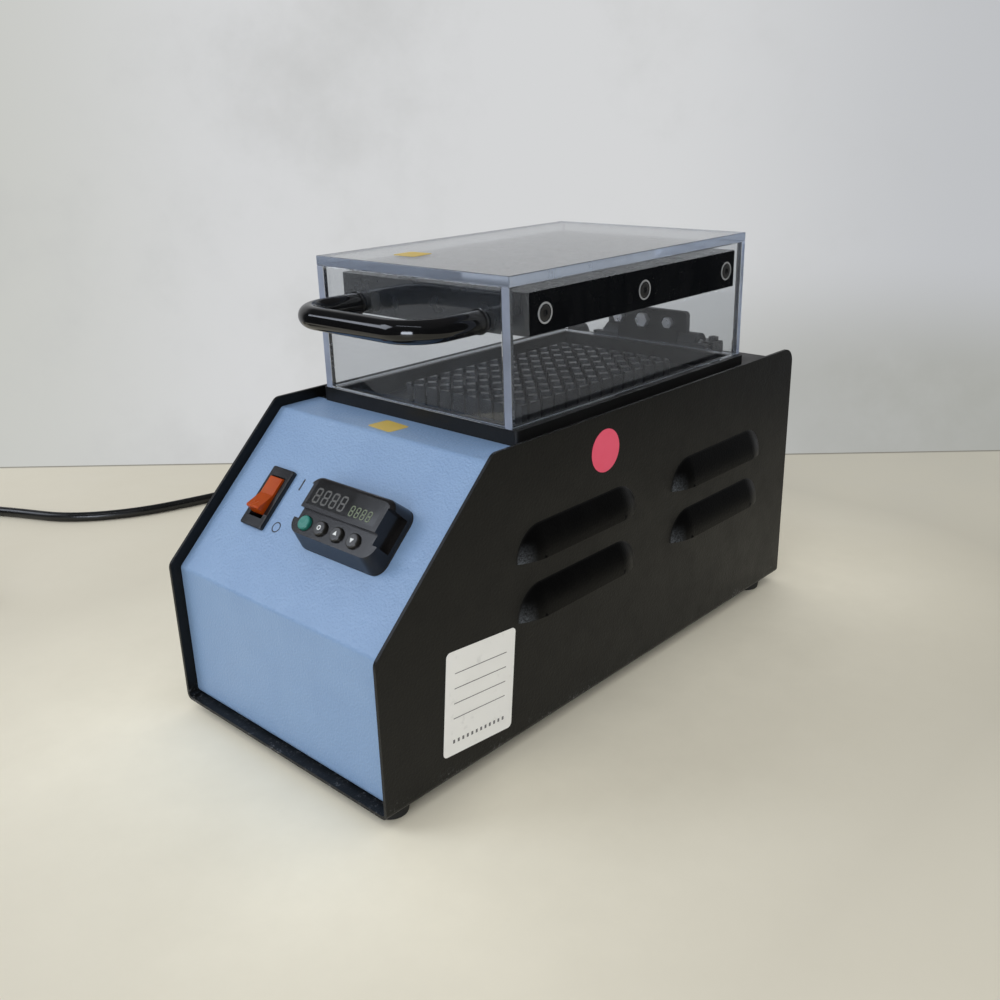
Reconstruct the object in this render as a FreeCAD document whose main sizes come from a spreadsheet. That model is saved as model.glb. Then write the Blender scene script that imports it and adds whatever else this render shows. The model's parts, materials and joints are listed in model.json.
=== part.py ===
"""Bench-top microsample incubator.

A bent steel case with louvred sides carries a bored sample block under a hinged
clear cover.  The origin is on the floor under the middle of the case, +Z is up,
+X is to the right and the sloping control panel faces -Y.  All sizes are in mm.
Depths along the case are measured from its front edge, heights from the floor.
"""
import FreeCAD, Part
import math
import os
import re
import Sketcher

SIZES = [
    ("CaseWidth", 145.0, "outer width of the bent case"),
    ("CaseDepth", 310.0, "front edge to rear edge of the case"),
    ("CaseTop", 141.0, "height of the side rims"),
    ("NoseHeight", 75.5, "height where the sloping front edge begins"),
    ("SlopeRun", 67.5, "depth over which the front edge rises to the top"),
    ("SheetThickness", 1.5, "steel sheet of the case and panels"),
    ("BendInside", 1.5, "inner radius of a sheet bend"),
    ("RimInset", 5.0, "panels stand back this far from the case edges"),
    ("RimCorner", 5.0, "rounding of the rim at the slope"),
    ("RearCorner", 8.0, "rounding of the rim at the rear top"),
    ("PanelGap", 0.3, "clearance of a panel to the case wall"),
    ("FlangeDepth", 24.0, "bottom flange of each panel"),
    ("FootHeight", 5.0, "rubber foot under the case floor"),
    ("FootTopDiameter", 16.0, "foot at the case floor"),
    ("FootLowDiameter", 14.4, "foot at the table"),
    ("FootSide", 62.3, "foot centre from the middle plane"),
    ("FootFront", 11.0, "front foot centre from the front edge"),
    ("FootRear", 19.0, "rear foot centre from the rear edge"),
    ("CaseScrewInset", 20.0, "case screw from the front and rear edges"),
    ("LouvreSpace", 29.5, "between a front louvre and a rear louvre"),
    ("LouvreHeight", 15.0, "louvre from its mouth to its top"),
    ("LouvreBulge", 5.0, "louvre stands out from the side"),
    ("LouvreLow", 61.5, "height of the lower louvre mouths"),
    ("LouvreRowPitch", 27.5, "upper louvres above lower louvres"),
    ("LouvreFront", 121.5, "middle of the front louvres"),
    ("LouvreRear", 74.0, "middle of the rear louvres before the rear edge"),
    ("CoverFront", 90.7, "front face of the clear cover"),
    ("CoverWidth", 122.8, "clear cover across"),
    ("CoverBack", 38.6, "rear face of the clear cover before the rear edge"),
    ("CoverHeight", 63.4, "clear cover from rim to top"),
    ("CoverWall", 4.5, "acrylic sheet"),
    ("FrameWidth", 128.0, "black seat frame across"),
    ("FrameThickness", 6.8, "black seat frame"),
    ("WellWidth", 110.0, "opening in the seat frame across"),
    ("FrameRail", 6.35, "front and rear rails of the seat frame"),
    ("PanelLap", 1.5, "front panel reaches this far under the seat frame"),
    ("GasketThickness", 1.0, "gasket between sample block and deck"),
    ("BlockFlangeMargin", 7.0, "block flange beyond the well opening"),
    ("BlockFlangeThickness", 8.0, "flange of the sample block"),
    ("BorePitch", 9.0, "sample bores, centre to centre"),
    ("BoreDiameter", 9.3, "sample bore, wider than the pitch"),
    ("BoreColumns", 8, "bores across"),
    ("BoreRows", 13, "bores front to rear"),
    ("BoreEdge", 4.57, "outer bore centre to the face of the field"),
    ("BlockScrewSide", 59.5, "block screw from the middle plane"),
    ("BlockScrewEnd", 15.0, "outer block screws from the ends of the block"),
    ("HeaterThickness", 1.6, "silicone heater mat"),
    ("HeaterMargin", 8.0, "heater mat inside the block flange"),
    ("InsulationThickness", 12.0, "board under the heater"),
    ("TrayStudSide", 48.0, "tray stud from the middle plane"),
    ("TrayStudEnd", 4.0, "tray studs from the ends of the block"),
    ("TrayStudWidth", 6.0, "tray stud across flats"),
    ("TrayStudThread", 5.5, "threaded end of a tray stud"),
    ("TrayFlange", 8.0, "side flange of the support tray"),
    ("CutoutDiameter", 16.0, "thermal cut-out body"),
    ("CutoutHeight", 17.0, "thermal cut-out with its terminals"),
    ("CutoutOffset", 40.0, "thermal cut-out behind the block middle"),
    ("ProbeDiameter", 4.8, "temperature probe"),
    ("ProbeLength", 38.0, "temperature probe"),
    ("ProbeDepth", 30.0, "probe inside the block flange"),
    ("ProbeSide", 20.0, "probe from the middle plane"),
    ("SlabThickness", 18.0, "black slab inside the cover"),
    ("SlabTopGap", 4.1, "slab below the inside of the cover top"),
    ("SlabFrontGap", 8.3, "slab behind the inside of the front wall"),
    ("SlabRearGap", 1.0, "slab before the inside of the rear wall"),
    ("SlabChamfer", 1.5, "chamfer of the slab edges"),
    ("SlabScrewFront", 21.8, "first slab screw behind the cover front"),
    ("SlabScrewRear", 17.5, "last slab screw before the cover rear"),
    ("SlabScrewSeat", 9.5, "counterbore in the acrylic"),
    ("SlabScrewSeatDepth", 2.6, "counterbore in the acrylic"),
    ("HandleSpacing", 77.7, "handle legs, centre to centre"),
    ("HandleOffset", 5.6, "handle middle to the right of the cover middle"),
    ("HandleDrop", 19.7, "handle axis below the cover top"),
    ("HandleDiameter", 10.0, "handle rod"),
    ("HandleReach", 35.5, "handle bar axis before the cover front"),
    ("HandleBend", 16.0, "bend radius of the handle axis"),
    ("HandleWasherDiameter", 11.0, "washer between handle and cover"),
    ("HandleWasherThickness", 1.0, "washer between handle and cover"),
    ("HandleThreadDepth", 13.0, "threaded hole in a handle leg"),
    ("HingeRise", 8.0, "hinge axis above the deck"),
    ("HingeBack", 7.1, "hinge axis behind the cover"),
    ("HingeBarrel", 12.0, "hinge knuckle diameter"),
    ("HingePinDiameter", 5.0, "hinge pin"),
    ("HingePinFit", 0.05, "radial play of the hinge pin"),
    ("HingeLeafWidth", 53.0, "leaf on the cover"),
    ("HingeLeafThickness", 3.0, "leaf on the cover"),
    ("HingeLeafMargin", 6.2, "leaf above its screws"),
    ("HingeLeafGap", 0.5, "plate of the leaf above its knuckle"),
    ("HingeLeafCorner", 2.5, "rounding of the leaf"),
    ("HingeCentreWidth", 39.4, "knuckle of the leaf"),
    ("HingeEarWidth", 11.0, "each knuckle of the base"),
    ("HingePlay", 0.3, "end play between knuckles"),
    ("HingeBaseWidth", 76.0, "base on the deck"),
    ("HingeBaseHeight", 9.0, "base block on the deck"),
    ("HingeScrewSide", 16.6, "outer leaf screw from the middle"),
    ("HingeScrewRise", 5.3, "leaf screws above the lower edge of the plate"),
    ("HingeBaseScrewSide", 34.5, "base screw from the middle"),
    ("HingeBaseDepth", 19.0, "base block front to rear"),
    ("SwitchSide", -40.6, "rocker switch from the middle plane"),
    ("SlopeCentre", 47.0, "controls up the slope from its lower corner"),
    ("SwitchWidth", 15.6, "switch bezel across"),
    ("SwitchLength", 30.5, "switch bezel up the slope"),
    ("SwitchProud", 2.0, "switch bezel above the panel"),
    ("SwitchBodyWidth", 12.8, "switch body through the panel"),
    ("SwitchBodyLength", 27.0, "switch body through the panel"),
    ("SwitchBodyDepth", 18.0, "switch body behind the panel"),
    ("SwitchTerminalLength", 8.0, "blade terminals behind the switch"),
    ("RockerWidth", 9.0, "rocker across"),
    ("RockerHalf", 9.3, "half of the rocker, hinge line to end"),
    ("RockerRise", 4.5, "middle of the rocker above its pivot"),
    ("RockerTilt", 11.0, "rocker half throw in degrees"),
    ("RockerPivotDepth", 3.4, "rocker pivot below the bezel top"),
    ("RockerGap", 0.25, "rocker to its opening"),
    ("RockerSkirt", 3.5, "rocker below its pivot"),
    ("TrunnionDiameter", 2.4, "rocker trunnion"),
    ("TrunnionLength", 0.9, "rocker trunnion"),
    ("ControlSide", 20.5, "controller from the middle plane"),
    ("ControlWidth", 54.0, "controller bezel across"),
    ("ControlHeight", 31.0, "controller bezel up the slope"),
    ("ControlCorner", 6.0, "rounding of the bezel corners"),
    ("ControlFaceWidth", 53.2, "top of the bezel across"),
    ("ControlFaceShift", -0.4, "display window from the controller middle"),
    ("ControlFaceTop", 14.0, "upper edge of the top above the controller middle"),
    ("ControlFaceLow", -11.6, "lower edge of the top below the middle"),
    ("ControlStep", -1.2, "step between display and keys"),
    ("ControlProud", 12.7, "display face above the panel"),
    ("ControlKeyFace", 10.4, "key face above the panel"),
    ("ControlFaceRound", 2.2, "rounding of the top edges"),
    ("ClipWidth", 16.0, "side clip recess up the slope"),
    ("ClipDepth", 3.2, "side clip recess"),
    ("ClipFloor", 2.0, "bezel left under a side clip recess"),
    ("WindowWidth", 43.0, "display window"),
    ("WindowHeight", 11.6, "display window"),
    ("WindowDepth", 1.0, "display window pocket"),
    ("KeyPitch", 10.5, "keys, centre to centre"),
    ("KeyFirst", -17.9, "first key from the controller middle"),
    ("KeyLine", -7.2, "keys from the controller middle"),
    ("KeyDiameter", 6.6, "key cap"),
    ("KeyProud", 1.6, "key cap above its face"),
    ("KeyDepth", 4.0, "key cap inside the bezel"),
    ("KeyTravel", 0.8, "key travel"),
    ("KeyGap", 0.25, "radial gap round a key"),
    ("ControlBodyWidth", 44.6, "controller case behind the panel"),
    ("ControlBodyHeight", 22.0, "controller case behind the panel"),
    ("ControlBodyDepth", 90.0, "controller case behind the panel"),
    ("SealThickness", 1.0, "seal between bezel and panel"),
    ("CollarThickness", 9.0, "mounting collar behind the panel"),
    ("CollarWall", 3.0, "mounting collar round the controller case"),
    ("InletSide", -28.0, "mains inlet from the middle plane"),
    ("InletHeight", 46.0, "mains socket above the floor"),
    ("InletFlangeWidth", 50.0, "inlet flange across"),
    ("InletFlangeHeight", 39.0, "inlet flange height"),
    ("InletFlangeDrop", 7.5, "inlet flange middle below the socket"),
    ("InletFlangeThickness", 2.5, "inlet flange"),
    ("InletBodyWidth", 29.0, "inlet body behind the panel"),
    ("InletBodyDepth", 24.0, "inlet body behind the panel"),
    ("InletScrewSpacing", 40.0, "inlet screws, centre to centre"),
    ("SocketWidth", 24.2, "inlet socket across"),
    ("SocketHeight", 16.4, "inlet socket height"),
    ("SocketDepth", 18.0, "inlet socket depth from the flange face"),
    ("SocketChamfer", 4.0, "cut corners of the inlet socket"),
    ("PlugPlay", 0.3, "connector nose inside the socket"),
    ("BladeWidth", 2.0, "inlet contact blade thickness"),
    ("BladeHeight", 4.0, "inlet contact blade height"),
    ("BladeLength", 14.0, "inlet contact blade length"),
    ("BladePitch", 7.0, "outer blades from the middle"),
    ("FuseWidth", 26.0, "fuse drawer across"),
    ("FuseHeight", 8.0, "fuse drawer height"),
    ("FuseDrop", 17.0, "fuse drawer below the socket"),
    ("FuseDepth", 20.0, "fuse drawer into the inlet"),
    ("FuseProud", 1.2, "fuse drawer face"),
    ("ConnectorWidth", 27.0, "cord connector grip across"),
    ("ConnectorHeight", 19.4, "cord connector grip height"),
    ("ConnectorLength", 26.0, "cord connector grip"),
    ("ReliefLength", 26.0, "strain relief of the connector"),
    ("ReliefDiameter", 11.0, "strain relief at the grip"),
    ("CordDiameter", 6.5, "mains cord"),
    ("CoilRadius", 38.5, "middle turn of the coiled cord"),
    ("CoilWidth", 20.0, "coil ring from inside to outside"),
    ("CoilHeight", 13.0, "coil height, two turns high"),
    ("CoilX", -436.7, "coil middle from the case middle"),
    ("CoilBack", -9.0, "coil middle behind the front edge"),
    ("MainsPlugWidth", 50.0, "mains plug body"),
    ("MainsPlugLength", 44.0, "mains plug body"),
    ("MainsPlugThickness", 21.0, "mains plug body"),
    ("RelaySide", -34.0, "solid state relay from the middle plane"),
    ("RelayBack", 105.0, "solid state relay before the rear edge"),
    ("RelayWidth", 45.0, "solid state relay across"),
    ("RelayLength", 58.0, "solid state relay front to rear"),
    ("RelayHeight", 23.0, "solid state relay"),
    ("RelayBase", 4.0, "metal base of the relay"),
    ("RelayScrewPitch", 48.0, "relay screws front to rear"),
    ("TerminalSide", 38.0, "terminal strip from the middle plane"),
    ("TerminalBack", 95.0, "terminal strip before the rear edge"),
    ("TerminalWidth", 21.0, "terminal strip across"),
    ("TerminalWays", 6, "terminals in the strip"),
    ("TerminalPitch", 10.0, "terminals, centre to centre"),
    ("TerminalHeight", 15.0, "terminal strip"),
    ("EarthSide", 20.0, "earth stud from the middle plane"),
    ("EarthBack", 38.0, "earth stud before the rear edge"),
    ("SmallScrew", 3.0, "shank of the small machine screws"),
    ("SmallHead", 5.5, "head of the small machine screws"),
    ("SmallHeadHeight", 2.2, "head of the small machine screws"),
    ("MediumScrew", 4.0, "shank of the medium machine screws"),
    ("MediumHead", 7.0, "head of the medium machine screws"),
    ("MediumHeadHeight", 2.8, "head of the medium machine screws"),
    ("LargeScrew", 5.0, "shank of the handle screws"),
    ("LargeHead", 8.5, "head of the handle screws"),
    ("LargeHeadHeight", 2.8, "head of the handle screws"),
    ("ScrewPlay", 0.1, "radial play of a screw in its hole"),
    ("SmallNut", 5.5, "small nut across flats"),
    ("SmallNutHeight", 2.4, "small nut"),
    ("MediumNut", 7.0, "medium nut across flats"),
    ("MediumNutHeight", 3.2, "medium nut"),
    ("BlindFloor", 1.5, "metal left under a blind hole"),
    ("BoreFloor", 2.5, "metal left under the sample bores"),
]

doc = FreeCAD.newDocument("MicrosampleIncubator")
sheet = doc.addObject("Spreadsheet::Sheet", "Sizes")
for row, (alias, value, meaning) in enumerate(SIZES, 1):
    sheet.set("A%d" % row, meaning)
    sheet.set("B%d" % row, str(value))
    sheet.setAlias("B%d" % row, alias)
doc.recompute()

parts = {}


def bound(text):
    """Point every size named in an expression at its cell of the sheet."""
    return re.sub(r"\b([A-Z][A-Za-z]+)\b", r"Sizes.\1", str(text))


def number(text):
    """Work an expression out as a plain number."""
    result = sheet.evalExpression(bound(text))
    return float(getattr(result, "Value", result))


# Heights and depths that several pieces share, as expressions of the sheet
RISE = "(CaseTop - NoseHeight)"
SLOPE = f"sqrt({RISE} * {RISE} + SlopeRun * SlopeRun)"
SINE = f"({RISE} / {SLOPE})"
COSINE = f"(SlopeRun / {SLOPE})"
TANGENT = f"({RISE} / SlopeRun)"
FLOOR_TOP = "(FootHeight + SheetThickness)"
DECK_TOP = "(CaseTop - RimInset)"
DECK_LOW = f"({DECK_TOP} - SheetThickness)"
FRAME_TOP = f"({DECK_TOP} + FrameThickness)"
COVER_LENGTH = "(CaseDepth - CoverFront - CoverBack)"
WELL_LENGTH = f"({COVER_LENGTH} - 2 * FrameRail)"
COVER_TOP = f"({FRAME_TOP} + CoverHeight)"
COVER_REAR = "(CaseDepth - CoverBack)"
COVER_MIDDLE = f"((CoverFront + {COVER_REAR}) / 2)"
REAR_FACE = "(CaseDepth - RimInset)"
JOIN = "(CoverFront + PanelLap)"
BLOCK_FLOOR = f"({DECK_LOW} - GasketThickness)"
BLOCK_LOW = f"({BLOCK_FLOOR} - BlockFlangeThickness)"
HEATER_LOW = f"({BLOCK_LOW} - HeaterThickness)"
TRAY_TOP = f"({HEATER_LOW} - InsulationThickness)"
FLANGE_WIDTH = "(WellWidth + 2 * BlockFlangeMargin)"
FLANGE_LENGTH = f"({WELL_LENGTH} + 2 * BlockFlangeMargin)"
SLAB_TOP = f"({COVER_TOP} - CoverWall - SlabTopGap)"
SLAB_LOW = f"({SLAB_TOP} - SlabThickness)"
SLAB_MIDDLE = f"({SLAB_TOP} - SlabThickness / 2)"
SLAB_SIDE = "(CoverWidth / 2 - CoverWall)"
SLAB_FRONT = "(CoverFront + CoverWall + SlabFrontGap)"
SLAB_REAR = f"({COVER_REAR} - CoverWall - SlabRearGap)"
HANDLE_HEIGHT = f"({COVER_TOP} - HandleDrop)"
HINGE_DEPTH = f"({COVER_REAR} + HingeBack)"
HINGE_HEIGHT = f"({DECK_TOP} + HingeRise)"
LEAF_LOW = f"({HINGE_HEIGHT} + HingeBarrel / 2 + HingeLeafGap)"
LEAF_SCREWS = f"({LEAF_LOW} + HingeScrewRise)"
LEAF_TOP = f"({LEAF_SCREWS} + HingeLeafMargin)"
HINGE_EAR = "(HingeCentreWidth / 2 + HingePlay)"
ROCKER_PIVOT = "(SwitchProud - RockerPivotDepth)"
SMALL_HOLE = "(SmallScrew + 2 * ScrewPlay)"
MEDIUM_HOLE = "(MediumScrew + 2 * ScrewPlay)"
LARGE_HOLE = "(LargeScrew + 2 * ScrewPlay)"


def panel_low(inset):
    """Height of the lower panel bend at an inset from the case edges."""
    return f"(NoseHeight - ({inset}) * {COSINE} + ({inset}) * (1 - {SINE}) * {TANGENT})"


def panel_high(inset):
    """Depth of the upper panel bend at an inset from the case edges."""
    return f"(({inset}) * {SINE} + ({RISE} - ({inset}) * (1 - {COSINE})) / {TANGENT})"


def bind(item, prop, text):
    """Bind one property of an object to the sheet."""
    item.setExpression(prop, bound(text))


def place(item, x="0", y="0", z="0"):
    """Stand an object at a place given from the front edge and the floor."""
    bind(item, "Placement.Base.x", x)
    bind(item, "Placement.Base.y", f"{y} - CaseDepth / 2")
    bind(item, "Placement.Base.z", z)
    return item


def place_on_slope(item, x="0", along="SlopeCentre", out="0"):
    """Lay an object on the sloping panel: local Y up the slope, Z outward."""
    item.Placement = FreeCAD.Placement(FreeCAD.Vector(), FreeCAD.Rotation(FreeCAD.Vector(1, 0, 0), 45))
    bind(item, "Placement.Rotation.Angle", f"atan({RISE} / SlopeRun)")
    back = f"(RimInset - ({out}))"
    bind(item, "Placement.Base.x", x)
    bind(item, "Placement.Base.y", f"{back} * {SINE} + ({along}) * {COSINE} - CaseDepth / 2")
    bind(item, "Placement.Base.z", f"NoseHeight - {back} * {COSINE} + ({along}) * {SINE}")
    return item


def keep(item, label):
    """Name an object as a sub-part that is written to its own file."""
    item.Label = label
    parts[label] = item
    return item


# Sketches and features of a body

def new_body(label):
    """Start a sub-part that is built from sketches."""
    return keep(doc.addObject("PartDesign::Body", "Body"), label)


def origin_plane(body, role):
    """Find one of the three planes of a body by its role."""
    return [item for item in body.Origin.OriginFeatures if item.Role == role][0]


def new_sketch(body, role="XY_Plane", lift="0"):
    """Attach a sketch to a plane of its body, lifted along the plane's normal."""
    sketch = body.newObject("Sketcher::SketchObject", "Sketch")
    sketch.AttachmentSupport = [(origin_plane(body, role), "")]
    sketch.MapMode = "FlatFace"
    bind(sketch, "AttachmentOffset.Base.z", lift)
    return sketch


def fix_point(sketch, geometry, point, x, y):
    """Hold a point of a sketch at two expressions."""
    for kind, text in (("DistanceX", x), ("DistanceY", y)):
        index = sketch.addConstraint(Sketcher.Constraint(kind, -1, 1, geometry, point, number(text)))
        sketch.setExpression("Constraints[%d]" % index, bound(text))


def polygon(sketch, corners):
    """Draw a closed outline through corners given as pairs of expressions."""
    spots = [FreeCAD.Vector(number(x), number(y), 0) for x, y in corners]
    first = sketch.GeometryCount
    count = len(spots)
    for index in range(count):
        sketch.addGeometry(Part.LineSegment(spots[index], spots[(index + 1) % count]))
    for index in range(count):
        follower = first + (index + 1) % count
        sketch.addConstraint(Sketcher.Constraint("Coincident", first + index, 2, follower, 1))
    for index, (x, y) in enumerate(corners):
        fix_point(sketch, first + index, 1, x, y)


def rectangle(sketch, width, height, x="0", y="0"):
    """Draw a rectangle round a middle point."""
    left, right = f"{x} - ({width}) / 2", f"{x} + ({width}) / 2"
    low, high = f"{y} - ({height}) / 2", f"{y} + ({height}) / 2"
    polygon(sketch, [(left, low), (right, low), (right, high), (left, high)])


def circle(sketch, diameter, x="0", y="0"):
    """Draw a circle round a middle point."""
    spot = FreeCAD.Vector(number(x), number(y), 0)
    index = sketch.addGeometry(Part.Circle(spot, FreeCAD.Vector(0, 0, 1), number(diameter) / 2))
    fix_point(sketch, index, 3, x, y)
    size = sketch.addConstraint(Sketcher.Constraint("Diameter", index, number(diameter)))
    sketch.setExpression("Constraints[%d]" % size, bound(diameter))


def pad(body, sketch, length, back=False, both=False):
    """Add material along the sketch's normal, against it, or half each way."""
    feature = body.newObject("PartDesign::Pad", "Pad")
    feature.Profile = sketch
    bind(feature, "Length", length)
    feature.Reversed = back
    feature.SideType = "Symmetric" if both else "One side"
    return feature


def pocket(body, sketch, length=None, back=False, both=False):
    """Cut against the sketch's normal, along it when back is set, or both ways."""
    feature = body.newObject("PartDesign::Pocket", "Pocket")
    feature.Profile = sketch
    if length is None:
        feature.Type = "ThroughAll"
        both = True
    else:
        bind(feature, "Length", length)
    feature.Reversed = back
    feature.SideType = "Symmetric" if both else "One side"
    return feature


def turn(body, kind, sketch, axis, angle=360.0, back=False):
    """Revolve a sketch about a line of its own."""
    feature = body.newObject("PartDesign::" + kind, kind)
    feature.Profile = sketch
    feature.ReferenceAxis = (sketch, [axis])
    feature.Angle = angle
    feature.Reversed = back
    return feature


def edges_along(feature, axis, spots, tolerance=0.02):
    """Name the straight edges along an axis that pass through given spots.

    Each spot holds two expressions, the places on the other two axes in X, Y, Z order.
    """
    doc.recompute()
    others = [index for index in range(3) if index != axis]
    targets = [(number(a), number(b)) for a, b in spots]
    names = []
    for index, edge in enumerate(feature.Shape.Edges, 1):
        ends = [vertex.Point for vertex in edge.Vertexes]
        if len(ends) != 2 or abs(ends[0][axis] - ends[1][axis]) < tolerance:
            continue
        for target in targets:
            gaps = [abs(end[others[k]] - target[k]) for end in ends for k in (0, 1)]
            if max(gaps) < tolerance:
                names.append("Edge%d" % index)
    return names


def soften(body, kind, base, names, size):
    """Round or chamfer the named edges of a feature."""
    feature = body.newObject("PartDesign::" + kind, kind)
    feature.Base = (base, names)
    bind(feature, "Radius" if kind == "Fillet" else "Size", size)
    return feature


def face_edges(feature, axis, level, tolerance=0.02):
    """Name all edges that lie in one plane across an axis."""
    doc.recompute()
    height = number(level)
    return ["Edge%d" % index for index, edge in enumerate(feature.Shape.Edges, 1)
            if abs(edge.BoundBox.Center[axis] - height) < tolerance
            and edge.BoundBox.DiagonalLength > 0
            and [edge.BoundBox.XLength, edge.BoundBox.YLength, edge.BoundBox.ZLength][axis] < tolerance]


# Plain pieces and fasteners

def cylinder_at(radius, height, base, axis=(0, 0, 1)):
    """Make a plain cylinder shape."""
    return Part.makeCylinder(radius, height, FreeCAD.Vector(*base), FreeCAD.Vector(*axis))


def cap_screw(shank, head, head_height, length):
    """Make a socket cap screw: its head stands on z = 0 and its shank points down."""
    crown = cylinder_at(head / 2, head_height, (0, 0, 0))
    rim = [edge for edge in crown.Edges if abs(edge.BoundBox.Center.z - head_height) < 1e-6]
    crown = crown.makeFillet(head_height * 0.25, rim)
    corners = [FreeCAD.Vector(shank * 0.42 * math.cos(a), shank * 0.42 * math.sin(a), head_height)
               for a in [math.pi / 3 * k for k in range(7)]]
    socket = Part.Face(Part.makePolygon(corners)).extrude(FreeCAD.Vector(0, 0, -head_height * 0.6))
    return crown.fuse(cylinder_at(shank / 2, length, (0, 0, -length))).cut(socket)


def hex_nut(bore, width, height):
    """Make a hexagon nut that stands on z = 0."""
    corners = [FreeCAD.Vector(width / math.sqrt(3) * math.cos(a), width / math.sqrt(3) * math.sin(a), 0)
               for a in [math.pi / 3 * k for k in range(7)]]
    body = Part.Face(Part.makePolygon(corners)).extrude(FreeCAD.Vector(0, 0, height))
    return body.cut(cylinder_at(bore / 2, height, (0, 0, 0)))


def copies(label, shape, spots, axis=(0, 0, 1)):
    """Keep several equal loose pieces as one sub-part, each turned from +Z to an axis."""
    turn_to = FreeCAD.Rotation(FreeCAD.Vector(0, 0, 1), FreeCAD.Vector(*axis))
    solids = []
    for spot in spots:
        piece = shape.copy()
        piece.Placement = FreeCAD.Placement(FreeCAD.Vector(*[number(part) for part in spot]), turn_to)
        solids.append(piece)
    item = doc.addObject("Part::Feature", "Group")
    item.Shape = Part.makeCompound(solids)
    place(item)
    return keep(item, label)


def mixed_copies(label, placed):
    """Keep loose pieces that point different ways: pairs of shape, spot and axis."""
    solids = []
    for shape, spot, axis in placed:
        piece = shape.copy()
        turn_to = FreeCAD.Rotation(FreeCAD.Vector(0, 0, 1), FreeCAD.Vector(*axis))
        piece.Placement = FreeCAD.Placement(FreeCAD.Vector(*[number(part) for part in spot]), turn_to)
        solids.append(piece)
    item = doc.addObject("Part::Feature", "Group")
    item.Shape = Part.makeCompound(solids)
    place(item)
    return keep(item, label)


# Case: one bent sheet with louvred sides

case = new_body("chassis_wrap")
section = new_sketch(case, "XZ_Plane")
half, inner = "CaseWidth / 2", "(CaseWidth / 2 - SheetThickness)"
polygon(section, [
    ("-" + half, "FootHeight"), (half, "FootHeight"), (half, "CaseTop"), (inner, "CaseTop"),
    (inner, FLOOR_TOP), ("-" + inner, FLOOR_TOP), ("-" + inner, "CaseTop"), ("-" + half, "CaseTop"),
])
wrap = pad(case, section, "CaseDepth", back=True)
corners = edges_along(wrap, 1, [(half, "FootHeight"), ("-" + half, "FootHeight")])
bend = soften(case, "Fillet", wrap, corners, "BendInside + SheetThickness")
corners = edges_along(bend, 1, [(inner, FLOOR_TOP), ("-" + inner, FLOOR_TOP)])
bend = soften(case, "Fillet", bend, corners, "BendInside")
slope = new_sketch(case, "YZ_Plane")
polygon(slope, [
    ("0", "NoseHeight"), ("SlopeRun", "CaseTop"), ("SlopeRun", "CaseTop + 5"),
    ("-5", "CaseTop + 5"), ("-5", "NoseHeight"),
])
slope_cut = pocket(case, slope)
nose = edges_along(slope_cut, 0, [("0", "NoseHeight"), ("SlopeRun", "CaseTop")])
rounded = soften(case, "Fillet", slope_cut, nose, "RimCorner")
rear = edges_along(rounded, 0, [("CaseDepth", "CaseTop")])
soften(case, "Fillet", rounded, rear, "RearCorner")

louvre_arc = "((LouvreHeight * LouvreHeight + LouvreBulge * LouvreBulge) / (2 * LouvreBulge))"
louvre_pitch = "(CaseDepth - LouvreFront - LouvreRear)"
louvre_middle = f"(({louvre_pitch} - LouvreSpace) / 2 - LouvreHeight)"


def louvre_outline(shift, inside):
    """Sketch half of a louvre's dome on its lanced edge, as the outer or inner surface."""
    sketch = new_sketch(case, "XZ_Plane", f"-(LouvreFront + ({shift}))")
    bind(sketch, "AttachmentOffset.Base.y", "LouvreLow")
    skin = "SheetThickness" if inside else "0"
    wall = f"(CaseWidth / 2 - {skin})"
    back = "(CaseWidth / 2 - SheetThickness * 1.5)" if inside else "(CaseWidth / 2 - SheetThickness / 2)"
    radius = f"({louvre_arc} - {skin})"
    middle = f"(CaseWidth / 2 + LouvreBulge - {louvre_arc})"
    top = f"sqrt({radius} * {radius} - ({wall} - {middle}) * ({wall} - {middle}))"
    spots = [(back, "0"), (f"{middle} + {radius}", "0"), (wall, top), (back, top)]
    dots = [FreeCAD.Vector(number(x), number(y), 0) for x, y in spots]
    centre = FreeCAD.Vector(number(middle), 0, 0)
    angle = math.atan2(dots[2].y, dots[2].x - centre.x)
    round_part = Part.Circle(centre, FreeCAD.Vector(0, 0, 1), number(radius))
    sketch.addGeometry(Part.LineSegment(dots[0], dots[1]))
    sketch.addGeometry(Part.ArcOfCircle(round_part, 0.0, angle))
    sketch.addGeometry(Part.LineSegment(dots[2], dots[3]))
    sketch.addGeometry(Part.LineSegment(dots[3], dots[0]))
    for first, first_end, second, second_end in ((0, 2, 1, 1), (1, 2, 2, 1), (2, 2, 3, 1), (3, 2, 0, 1)):
        sketch.addConstraint(Sketcher.Constraint("Coincident", first, first_end, second, second_end))
    fix_point(sketch, 0, 1, *spots[0])
    fix_point(sketch, 1, 3, middle, "0")
    for geometry, (x, y) in ((0, spots[1]), (1, spots[2])):
        index = sketch.addConstraint(Sketcher.Constraint("DistanceX", -1, 1, geometry, 2, number(x)))
        sketch.setExpression("Constraints[%d]" % index, bound(x))
    sketch.addConstraint(Sketcher.Constraint("PointOnObject", 0, 2, -1))
    index = sketch.addConstraint(Sketcher.Constraint("DistanceY", -1, 1, 2, 2, number(top)))
    sketch.setExpression("Constraints[%d]" % index, bound(top))
    index = sketch.addConstraint(Sketcher.Constraint("DistanceX", -1, 1, 2, 2, number(back)))
    sketch.setExpression("Constraints[%d]" % index, bound(back))
    return sketch


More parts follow.
